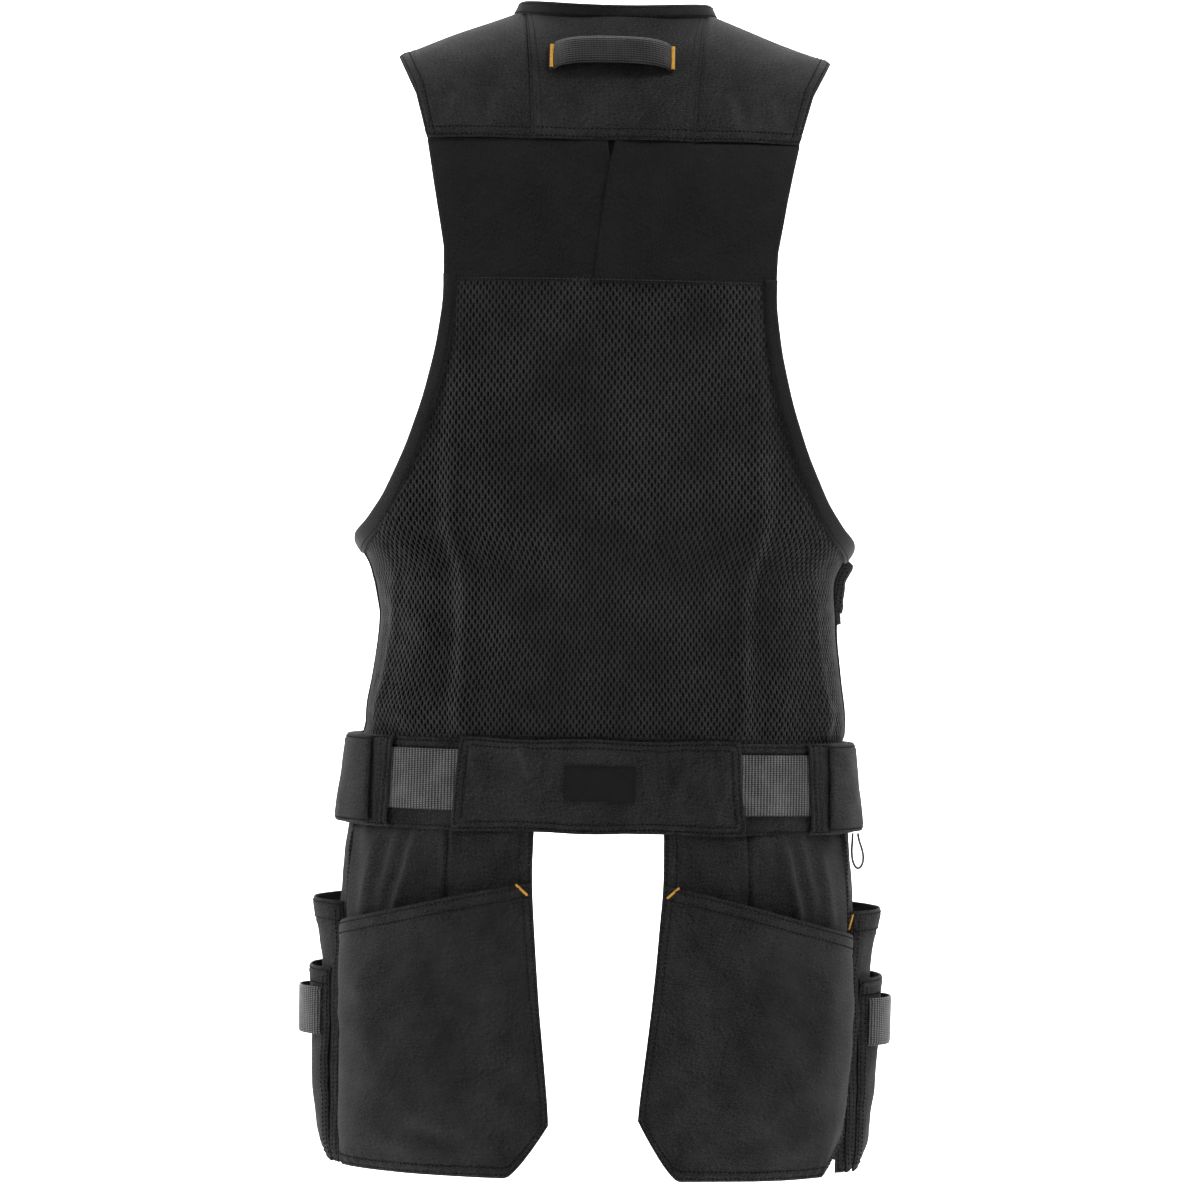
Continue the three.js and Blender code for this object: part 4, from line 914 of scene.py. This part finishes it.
def rounded_box(name, centre, size, corner, nodes=(), count=16, crown=0.0):
    """A flat plastic box that faces along Y, with rounded corners and edges. Each station along x
    is a rounded section whose height follows the corner arcs; crown raises the middle."""
    width, depth, height = size
    x = -0.5 * width * np.cos(np.linspace(0, np.pi, 33))
    x[0], x[-1] = x[0] + 0.02, x[-1] - 0.02
    from_end = 0.5 * width - np.abs(x)
    into = np.clip((corner - from_end) / corner, 0, 1)
    half_z = 0.5 * height - corner * (1 - np.sqrt(1 - into**2))
    half_y = 0.5 * depth * (1 - np.clip(1 - from_end / 1.2, 0, 1) ** 2 * 0.6)
    swing = 2 * np.pi * np.arange(count * 2) / (count * 2)
    cz, sy = np.cos(swing), np.sin(swing)
    z = half_z[:, None] * np.sign(cz) * np.abs(cz) ** 0.35
    y = half_y[:, None] * np.sign(sy) * np.abs(sy) ** 0.35
    y = y + crown * np.sign(sy) * (1 - (z / (0.5 * height)) ** 2) * (1 - (x[:, None] / (0.5 * width)) ** 2)
    tube(name, np.stack([x[:, None] + 0 * z, y, z], axis=-1) + np.array(centre), PLASTIC, nodes)


def smooth_plastic(name, level, roughness):
    """Moulded plastic: one dark grey with a fine grain in its height and a slow change of gloss."""
    n = Nodes(name)
    place = n.add("TexCoord").outputs["Object"]
    limits = {"To Min": roughness - 0.06, "To Max": roughness + 0.06}
    gloss = n.add("MapRange", limits, {"Value": n.noise(place, 60.0, 3.0)}).outputs[0]
    n.tree.links.new(gloss, n.shader.inputs["Roughness"])
    n.bump(n.noise(place, 2600.0, 2.0), 0.3, 0.0001)
    n.shader.inputs["Base Color"].default_value = grey(level)
    return n.material


PLASTIC = smooth_plastic("plastic", 0.012, 0.42)
zip_z = np.linspace(-95.2, -574.5, 121)[:, None]
zip_x = np.linspace(-13, 13, 15)[None, :] + 0 * zip_z
zip_base = form(np.pi - turn_of_x(zip_x, zip_z + 0 * zip_x), zip_z + 0 * zip_x)
zip_tape = lifted(zip_base, 1.7 - 2.3 * np.clip((np.abs(zip_base[..., 0]) - 7.5) / 2, 0, 1))
cloth("zip_tape", zip_tape, 1.5, TAPE, ["front_zip"], edge=0.3, back=TWILL_BACK)
tooth_z = np.arange(-98.0, -566.0, -1.5)
count = len(tooth_z)
tooth_x = np.where(np.arange(count) % 2 == 0, 0.75, -0.75)
forwards, sideways = (np.tile(way, (count, 1)) for way in ([0.0, -1.0, 0.0], [1.0, 0.0, 0.0]))
teeth = form(np.pi - turn_of_x(tooth_x, tooth_z), tooth_z) + forwards * 2.0
stitch_mesh("zip_teeth", [(teeth, sideways, forwards, np.full(count, 3.6), np.full(count, 0.85))], PLASTIC)
slider_y = form(np.array([np.pi]), np.array([-112.0]))[0, 1]
rounded_box("zip_slider", (0, slider_y - 3.4, -112), (7.6, 3.4, 10.5), 2.2)
rounded_box("zip_pull", (0, slider_y - 4.4, -126), (5.2, 1.6, 21), 2.0)

# --- Waistband: a doubled twill band sewn to the net and the fronts. It carries the belt,
# and the holsters hang from its lower edge.


def hoop(top, foot, gap, columns, rows):
    """Points and heights of a band round the body between two heights, open by a gap in front."""
    v = shares(1, rows)[1]
    turns = np.linspace(gap - np.pi, np.pi - gap, columns)[None, :]
    z = top * (1 - v) + foot * v
    return form(turns + 0 * v, z + 0 * turns), z


base, z = hoop(-567, -638.6, 0.012, 620, 31)
edge = from_edges(base)
waistband = lifted(
    base,
    2.6
    + sewn(edge["top"], rows=(3.0, 8.0), hem=10, height=0.4)
    + sewn(edge["bottom"], rows=(3.0,), hem=7, height=0.4)
    + 0.25 * np.sin(2 * np.pi * edge["left"] / 11) * bell(edge["top"] - 5, 5)
    + 0.3 * wander(edge["left"], z, 30, 51),
)
cloth("waistband_cloth", waistband, 2.4, TWILL, ["waistband"], ["belt_webbing"])
band_runs = rows_on(waistband, ["top"], (3.0, 8.0)) + rows_on(waistband, ["bottom"], (3.0,))
stitch_mesh("waistband_stitches", band_runs, BLACK_THREAD)

# --- Belt: 50 mm ribbed webbing that runs over the waistband, through the waist panel
# and the side keepers, to a plain plastic buckle in front.

base, z = hoop(-576, -623.5, 0.004, 900, 13)
edge = from_edges(base)
belt = lifted(base, 5.2 - 0.7 * bell(nearest(edge, "top", "bottom"), 1.4) + 0.25 * wander(edge["left"], z, 45, 61))
cloth("belt_webbing", belt, 2.1, WEBBING, ["webbing_belt"], ["waistband_cloth"], edge=0.5)
buckle_y = form(np.array([np.pi]), np.array([-625.0]))[0, 1] - 10.6
rounded_box("buckle_frame", (8.5, buckle_y, -600), (49, 8.6, 58), 8, ["belt_buckle"], crown=0.3)
rounded_box("buckle_tongue", (-24.6, buckle_y, -600), (16.8, 8.2, 57), 6, crown=0.3)
rounded_box("buckle_ridge", (8.5, buckle_y - 4.4, -600), (30, 1.6, 26), 4)
for word, z in (("upper", -576), ("lower", -624)):
    rounded_box(f"buckle_prong_{word}", (-14, buckle_y - 0.5, z), (14, 6.4, 8), 3)

# --- Waist panel: a padded twill panel across the small of the back. The belt goes in at
# one end and out at the other, and the border is stitched and puckered. The patch on
# it is a smooth cloth rectangle, left plain.

# Creases of the panel: x and z of the start and of the end, width, height
PANEL_CREASES = (
    (-33, -566, -43, -632, 3.6, 3.6),
    (-48, -566, -56, -610, 4.0, -1.8),
    (-68, -568, -52, -628, 5.0, 3.9),
    (-85, -567, -93, -624, 4.0, -1.8),
    (62, -569, 50, -600, 4.5, 4.2),
    (86, -600, 70, -636, 5.0, -1.8),
    (34, -570, 38, -612, 4.0, 2.7),
    (-100, -590, -84, -636, 4.0, 2.7),
    (98, -568, 92, -610, 4.5, 2.7),
)
ALL_EDGES = ("left", "right", "top", "bottom")

u, v = shares(131, 46, -1)
pad_z = -566 * (1 - v) - 639 * v + 0.8 * np.sin(u * 7 + 1) * (1 - 2 * v)
pad_x = u * (108 * (1 - v) + 114 * v) + 2.0 * np.clip(-u, 0, 1) ** 8 * np.sin(3 * v)
pad_base = form(turn_of_x(pad_x, pad_z), pad_z)
edge = from_edges(pad_base)
side_edge, level_edge = nearest(edge, "left", "right"), nearest(edge, "top", "bottom")
near = np.minimum(side_edge, level_edge)
run = np.where(side_edge < level_edge, edge["top"], edge["left"])
pad = lifted(
    pad_base,
    4.0
    + 4.0 * fade(-level_edge, -6.5, 1.3)
    + 1.5 * bell(v - 0.5, 0.3)
    + 0.5 * np.sin(2 * np.pi * run / 8.5 + 2.2 * np.sin(run / 19)) * bell(near - 5, 4)
    + sewn(near, rows=(3.0, 8.5), hem=10, height=0.3)
    + 0.6 * wander(pad_x, pad_z, 34, 71)
    + 0.5 * wander(pad_x * 0.6, pad_z, 12, 72) * bell(near - 12, 9)
    + folds(pad_base, 1, PANEL_CREASES),
)
cloth("waist_panel_cloth", pad, 2.0, TWILL, ["back_waist_panel"], ["belt_webbing"], edge=0.6)
stitch_mesh("waist_panel_stitches", rows_on(pad, ALL_EDGES, (3.0, 8.5), inset="own"), BLACK_THREAD)

PATCH = woven("patch", grey(0.0025, 1.1), grey(0.009, 1.1), 0.0007, 0.0, 0.00008, 0.7, 0.05)
PATCH_HALF = 27.5
u, v = shares(41, 21, -1)
patch_z = -586.5 * (1 - v) - 615 * v + 0 * u
patch_base = form(turn_of_x(PATCH_HALF * u + 0 * v, patch_z), patch_z)
near = nearest(from_edges(patch_base), *ALL_EDGES)
patch = lifted(patch_base, 10.4 + 0.64 * (1 - bell(near, 1.2)) + 0.3 * wander(PATCH_HALF * u, patch_z, 34, 71))
cloth("plain_patch", patch, 1.0, PATCH, ["label_patch"], edge=0.3)
patch_runs = rows_on(patch, ALL_EDGES, (1.6,), inset="own", pitch=2.2, length=1.8, radius=0.24)
stitch_mesh("patch_stitches", patch_runs, BLACK_THREAD)

# --- Side keepers: wide cloth loops that hold the belt on the hips. Each is a doubled
# twill tunnel with a folded flap over it; their edges are thick and rounded.

KEEPER_TURN = math.radians(104)
u, v = shares(61, 41)
for word, side in SIDES:
    for name, node, x_start, top, foot, out, wall, thick in (
        (f"keeper_cloth_{word}", f"side_keeper_{word}", 159, -566.5, -638.5, (7.6, 9.0), 2.0, 0.0),
        (f"keeper_flap_cloth_{word}", f"side_keeper_flap_{word}", 173, -567.5, -637.5, (11.4, 14.2), 2.6, 1.0),
    ):
        z = top * (1 - v) + foot * v + 0 * u
        start = turn_of_x(x_start + 3 * v * (1 - thick) + 0 * u, z)
        base = form(start * (1 - u) + KEEPER_TURN * u, z) * [side, 1, 1]
        edge = from_edges(base)
        side_edge, level_edge = nearest(edge, "left", "right"), nearest(edge, "top", "bottom")
        keeper = lifted(
            base,
            out[0] * (1 - v) + out[1] * v
            - np.clip(1 - level_edge / 6, 0, 1) ** 2 * (1.2 if thick else 3.6)
            + sewn(side_edge, roll=1.6)
            + sewn(edge["left"], rows=(4.0, 8.0), roll=0.0) * (1 - thick) * 1.8
            + sewn(level_edge, rows=(3.0,), roll=0.4) * thick
            + 0.5 * wander(edge["left"], z, 24, 81 + side + int(3 * thick))
            + 0.35 * np.sin(2 * np.pi * edge["top"] / 9 + side) * bell(side_edge - 5, 4),
        )
        cloth(name, keeper, wall, TWILL, [node], ["belt_webbing"], edge=0.6)
        stitch_mesh(f"{name}_stitches", rows_on(keeper, ["top", "bottom"], (3.0,)), BLACK_THREAD)

# --- Holster backs: the twill that hangs from the waistband behind, one each side. The
# inner edge has a wide facing, and the cloth fans out in folds from the waistband.

HOLSTER_LENGTH = -HEM_Z + BAND_Z
# Share down the holster, and its inner edge's distance from the middle as a share of 50 mm
HOLSTER_EDGE = np.array([[0, 1], [0.14, 1.02], [0.475, 0.88], [0.825, 0.68], [1, 0.66]])
OUTER_SHARE = {"left": 0.96, "right": 0.78}
OUTER_CUT = {"left": 16.0, "right": 29.0}
CHAMFER = {"left": 42, "right": 47}
SEAM_TURN_BACK = math.radians(73.8)
HOLSTER_FOLDS = (
    (88, -642, 97, -690, 6.0, 1.6),
    (140, -640, 158, -712, 4.5, 5.6),
    (128, -650, 139, -715, 6.0, -2.6),
    (156, -641, 170, -705, 5.0, 3.0),
    (172, -641, 184, -720, 5.0, 3.2),
)


def holster_inner(z):
    """Distance of the holster's inner edge from the middle at a height."""
    return 50 * averaged((BAND_Z - z) / HOLSTER_LENGTH, HOLSTER_EDGE, 1, (-0.06, -0.03, 0, 0.03, 0.06))


def holster_hem(u, word):
    """Height of the hem: chamfered at the inner corner, cut up towards the hip at the outer one."""
    past = np.clip((u - OUTER_SHARE[word]) / (1 - OUTER_SHARE[word]), 0, 1)
    return HEM_Z + CHAMFER[word] * np.clip(1 - u / 0.13, 0, 1) ** 1.35 + OUTER_CUT[word] * past


def holster_place(u, z, side):
    """Points of the form under a holster: u is 0 at the inner edge and 1 at the hip seam."""
    return form(turn_of_x(holster_inner(z), z) * (1 - u) + SEAM_TURN_BACK * u, z) * [side, 1, 1]


def pouch(u, fullness=3.2):
    """How far a pocket stands out across its width: 0 at both seams, 1 over its middle."""
    return 1 - np.abs(2 * u - 1) ** fullness


u, v = shares(76, 106)
for word, side in SIDES:
    z = -637.5 * (1 - v) + holster_hem(u, word) * v
    base = holster_place(u + 0 * v, z, side)
    edge = from_edges(base)
    fan = np.clip(1 - edge["top"] / 78, 0, 1)
    x = np.abs(base[..., 0])
    holster = lifted(
        base,
        2.0
        + sewn(edge["left"], rows=(2.5, 11.0), hem=13.5, height=1.2)
        + sewn(edge["bottom"], rows=(3.0,))
        - 1.4 * bell(edge["top"], 3)
        + folds(base, side, HOLSTER_FOLDS)
        + (1.0 * bell(x - 120.5, 2.2) - 2.4 * bell(x - 117, 1.4)) * np.clip(fan * 3, 0, 1)
        + 1.2 * fan * wander(base[..., 0], 0.25 * base[..., 2], 15, 91 + side)
        + 0.9 * wander(base[..., 0], base[..., 2], 60, 93 + side),
    )
    cloth(f"holster_cloth_{word}", holster, TWILL_WALL, TWILL, [f"holster_back_{word}"], ["waistband_cloth"])
    column = np.abs(holster[30, :, 0] * side - 119.5).argmin()
    seam = (slice(2, 44), column)
    runs = rows_on(holster, ["left"], (2.5, 11.0)) + [stitches_along(holster[seam], outward(holster)[seam])]
    stitch_mesh(f"holster_stitches_{word}", runs, BLACK_THREAD)

# --- Back pockets: big pouches on the holsters. The mouth slants down to the hip, has a
# hem with two rows of stitches, and a gold bar tack at its inner corner.

POCKET_DENT = {"left": 0.35, "right": 1.0}
MOUTH_DROP = {"left": 37, "right": 41}
# Share down the holster, and how far the pocket stands out there as a share
BACK_BULGE = np.array([[0.13, 0.7], [0.4, 0.85], [0.7, 0.9], [0.88, 0.6], [1, 0.02]])
DENT_FOLDS = ((68, -700, 112, -775, 10, -6.5), (80, -698, 96, -745, 8, 3.0))
POCKET_FOLDS = (
    (168, -735, 158, -850, 10, 2.6),
    (60, -760, 66, -880, 6, 2.0),
    (90, -882, 160, -868, 9, -2.6),
    (150, -720, 172, -775, 9, 2.0),
)

u, v = shares(91, 96)
for word, side in SIDES:
    reach = holster_place(u, BAND_Z - 60 + 0 * u, 1)[..., 0]
    reach = (reach - reach[:, :1]) / (reach[:, -1:] - reach[:, :1])
    mouth = BAND_Z - 40 - MOUTH_DROP[word] * reach**1.15
    hem = holster_hem(u, word)
    z = (mouth + 0.6 * np.sin(np.pi * u)) * (1 - v) + (hem + 0.3) * v
    base = holster_place(u + 0 * v, z, side)
    down = (BAND_Z - z) / HOLSTER_LENGTH + 1 - (BAND_Z - hem) / HOLSTER_LENGTH
    edge = from_edges(base)
    side_edge = nearest(edge, "left", "right")
    rim = np.minimum(side_edge, edge["bottom"])
    run = np.where(side_edge < edge["bottom"], edge["top"], edge["left"])
    pocket = lifted(
        base,
        3.6
        + 24 * pouch(u) * averaged(down, BACK_BULGE, 1, (-0.03, -0.015, 0, 0.015, 0.03))
        + sewn(edge["top"], rows=(3.0, 11.0), hem=13, height=0.7)
        + sewn(rim, rows=(2.8, 9.0), hem=11)
        + 0.45 * np.sin(2 * np.pi * run / 10 + 2 * np.sin(run / 23)) * bell(rim - 6, 5)
        + POCKET_DENT[word] * folds(base, side, DENT_FOLDS)
        + folds(base, side, POCKET_FOLDS)
        + 2.0 * wander(base[..., 0], base[..., 2], 85, 101 + side)
        + 0.5 * wander(base[..., 0], base[..., 2], 30, 103 + side),
    )
    cloth(f"back_pouch_{word}", pocket, TWILL_WALL, TWILL, [f"back_pocket_{word}"], [f"holster_cloth_{word}"])
    runs = rows_on(pocket, ["top"], (3.0, 11.0), inset=3)
    runs += rows_on(pocket, ["left", "right", "bottom"], (2.8, 9.0), inset="own")
    stitch_mesh(f"back_pouch_stitches_{word}", runs, BLACK_THREAD)
    facing = outward(pocket)[2, 3]
    way = np.array([-side * 0.75, 0.0, -0.66])
    tack = bar_tack(pocket[2, 3] + facing * 0.4, way, np.cross(facing, way), facing, 13, 2.0, 0.62, 0.42)
    stitch_mesh(f"mouth_tack_{word}", [tack], GOLD_THREAD)

# --- Hip sides: the twill at each hip, an upper pocket that stands out from it, a slimmer
# lower pocket on that one, and two webbing loops for tools on the lower pocket.

# Depth, and how far the upper and the lower pocket stand out there as shares
SIDE_BULGE = np.array([
    [700, 0.94, 1], [753, 0.5, 1], [811.5, 0.5, 0.95], [860.8, 0.45, 0.6], [891.6, 0.4, 0.3], [907, 0.02, 0.02],
])
SIDE_SHIFTS = (9, 4.5, 0, -4.5, -9)


def upper_lift(degrees, z):
    return 2.1 + 26 * pouch((degrees - 76) / 66) * averaged(-z, SIDE_BULGE, 1, SIDE_SHIFTS)


def lower_lift(degrees, z):
    across = np.clip((degrees - 80) / 58, 0, 1)
    return upper_lift(degrees, z) + 2.6 + 9 * pouch(across) * averaged(-z, SIDE_BULGE, 2, SIDE_SHIFTS)


def hip_panel(name, node, side, degrees, heights, lift, seed, rests_on, rows=90, columns=70, mouth=()):
    """A panel at the hip between two turns in degrees and two heights, with stitched edges."""
    v = shares(1, rows)[1]
    turns = np.linspace(*degrees, columns)[None, :] + 0 * v
    z = heights[0] * (1 - v) + heights[1] * v + 0 * turns
    base = form(np.radians(turns), z) * [side, 1, 1]
    edge = from_edges(base)
    panel = lifted(
        base,
        lift(turns, z)
        + sewn(edge["top"], rows=mouth, hem=mouth[-1] + 2 if mouth else 0)
        + sewn(nearest(edge, "left", "right", "bottom"), rows=(2.5, 7.0), hem=9, height=0.4)
        + 1.0 * wander(edge["left"], z, 55, seed)
        + 0.4 * wander(edge["left"], z, 22, seed + 1),
    )
    cloth(name, panel, TWILL_WALL, TWILL, [node], [rests_on])
    runs = rows_on(panel, ["top"], mouth, inset=3)
    runs += rows_on(panel, ["left", "right", "bottom"], (2.5, 7.0), inset="own")
    stitch_mesh(f"{name}_stitches", runs, BLACK_THREAD)


for word, side in SIDES:
    hip_panel(f"hip_cloth_{word}", f"holster_side_{word}", side, (72.2, 150), (-637.5, -906.5),
              lambda turns, z: 1.8 - 2.6 * fade(turns, 73.7, 0.12), 111 + side, "waistband_cloth")
    hip_panel(f"hip_pouch_{word}", f"side_pocket_{word}", side, (76, 142), (-700, -906.8),
              lambda turns, z: upper_lift(turns, z) + 1.7, 121 + side, f"hip_cloth_{word}", mouth=(3.0, 16.0))
    hip_panel(f"hip_pouch_lower_{word}", f"side_pocket_lower_{word}", side, (80, 138), (-753, -906.9),
              lambda turns, z: lower_lift(turns, z) + 1.7, 131 + side, f"hip_pouch_{word}", mouth=(3.0, 14.0))
    share, v = shares(41, 17)
    share = share + 0 * v
    z = -769 * (1 - v) - 807 * v + 0 * share
    bow = 7.6 * np.sqrt(np.clip(np.sin(np.pi * share), 0, 1))
    for place, start, end in (("rear", 82.3, 99.1), ("front", 103.2, 120.0)):
        turns = start + (end - start) * share
        base = form(np.radians(turns), z) * [side, 1, 1]
        rim = nearest(from_edges(base), "top", "bottom")
        loop = lifted(base, lower_lift(turns, z) + 3.8 + bow - 0.5 * bell(rim, 1.3))
        cloth(f"tool_strap_{place}_{word}", loop, 1.5, WEBBING, [f"tool_loop_{place}_{word}"], edge=0.4)

# --- Hip seam tack: the small gold bar tack at the right hip seam, high on the pocket.

tack_at = (form(np.array([math.radians(74.6)]), np.array([-708.0])) * [-1, 1, 1])[0]
tack_out = np.array([-0.95, 0.31, 0.0])
tack = bar_tack(tack_at + 4.5 * tack_out, (-0.2, 0.3, 0.9), (0.31, 0.95, 0), tack_out, 13, 3.0)
stitch_mesh("hip_tack_right", [tack], GOLD_THREAD)

# --- Chest pocket: the side of a pocket on the right front sticks out under the armhole,
# with its flap folded over it.

CHEST_TURNS = (102, 138)


def chest_lift(degrees, z):
    across = np.clip((degrees - 102) / 36, 0, 1)
    down = (-417.6 - z) / 60
    return 3.0 + 15 * np.clip((1 - down) / 0.08, 0, 1) * pouch(across) ** 0.5


hip_panel("chest_pouch", "chest_pocket_right", -1, CHEST_TURNS, (-417.6, -477.6),
          lambda turns, z: chest_lift(turns, z) + 1.7, 141, "front_cloth_right", rows=40, columns=50, mouth=(3.0,))
hip_panel("chest_flap", "chest_pocket_flap_right", -1, CHEST_TURNS, (-417.3, -464.6),
          lambda turns, z: chest_lift(turns, np.maximum(z, -464)) + 4.3, 143, "chest_pouch", rows=36, columns=50)

# --- Cord loop: a thin round cord under the right keeper. It leaves the waistband's lower
# edge, hangs in a drop shape and goes back up beside its start.

# Shares of the drop's width, to the right, and of its length, down
CORD_ROUTE = np.array([
    [0.06, 0], [0.06, 0.2], [0, 0.45], [0.04, 0.7], [0.26, 0.92], [0.58, 1],
    [0.9, 0.88], [1, 0.66], [0.84, 0.42], [0.56, 0.2], [0.48, 0],
])
fine = np.linspace(0, len(CORD_ROUTE) - 1, 81)
drop_x, drop_z = (
    blurred(np.interp(fine, np.arange(len(CORD_ROUTE)), CORD_ROUTE[:, k]), 4, 10, mode="reflect", reflect_type="odd")
    for k in (0, 1)
)
cord_path = np.stack([-201.9 - 10 * drop_x, 11.9 + 0 * fine, -638.9 - 29 * drop_z], axis=1)
tangent = np.gradient(cord_path, axis=0)
tangent /= np.linalg.norm(tangent, axis=1, keepdims=True)
cord_up = np.array([0.0, 1.0, 0.0])
swing = (2 * np.pi * np.arange(12) / 12)[None, :, None]
cord_rings = cord_path[:, None] + np.cos(swing) * np.cross(tangent, cord_up)[:, None] + np.sin(swing) * cord_up
CORD = woven("cord", grey(0.02), grey(0.1), 0.0012, 0.8, 0.0002, 0.6, 0.1)
cord = tube("loop_cord", cord_rings, CORD, ["cord_loop_right"])

# --- Studio: a pale floor that curves up at both ends, soft area lights, and a dim white
# world. One light from the left grazes the folds, the key comes from the upper right.

# y and z of the floor's section, in metres
SWEEP = np.array([
    [9.0, 7.0], [9.0, -0.3], [8.8, -0.9], [8.0, -1.12], [0.0, -1.12], [-5.0, -1.12], [-5.8, -0.9], [-6.0, -0.3],
    [-6.0, 7.0],
])
sweep_x = np.linspace(-10, 10, 7)[None, :]
floor_points = np.stack(np.broadcast_arrays(sweep_x, SWEEP[:, :1], SWEEP[:, 1:]), axis=-1)
backdrop = new_piece("backdrop", floor_points.reshape(-1, 3) / MM, grid_faces(*floor_points.shape[:2]))
paper = Nodes("paper")
paper.shader.inputs["Base Color"].default_value = grey(0.95)
paper.shader.inputs["Roughness"].default_value = 0.95
backdrop.data.materials.append(paper.material)

for name, place, aim, size, power in (
    ("key", (-1.2, 0.75, 1.7), (0, 0, -0.3), 0.7, 40),
    ("side_left", (2.4, 0.45, 0.3), (0, 0, -0.5), 0.7, 22),
    ("rim_left", (2.2, -0.9, 0.4), (0, 0, -0.45), 1.2, 24),
    ("rim_right", (-2.2, -0.9, 0.4), (0, 0, -0.45), 1.2, 16),
    ("backdrop_light", (0, -3.0, 3.4), (0, -6.0, -0.6), 4.0, 850),
    ("far_light", (0, 5.0, 3.4), (0, 9.0, -0.6), 4.0, 60),
):
    light_data = bpy.data.lights.new(name, "AREA")
    light_data.size = size
    light_data.energy = power
    light = bpy.data.objects.new(name, light_data)
    light.location = place
    x, y, z = np.array(aim) - np.array(place)
    light.rotation_euler = (math.atan2(math.hypot(x, y), -z), 0, math.atan2(x, -y) + math.pi)
    bpy.context.scene.collection.objects.link(light)

world = bpy.data.worlds.new("world")
world.use_nodes = True
world.node_tree.nodes["Background"].inputs["Color"].default_value = (1, 1, 1, 1)
world.node_tree.nodes["Background"].inputs["Strength"].default_value = 0.05
bpy.context.scene.world = world
bpy.context.scene.view_settings.view_transform = "Standard"
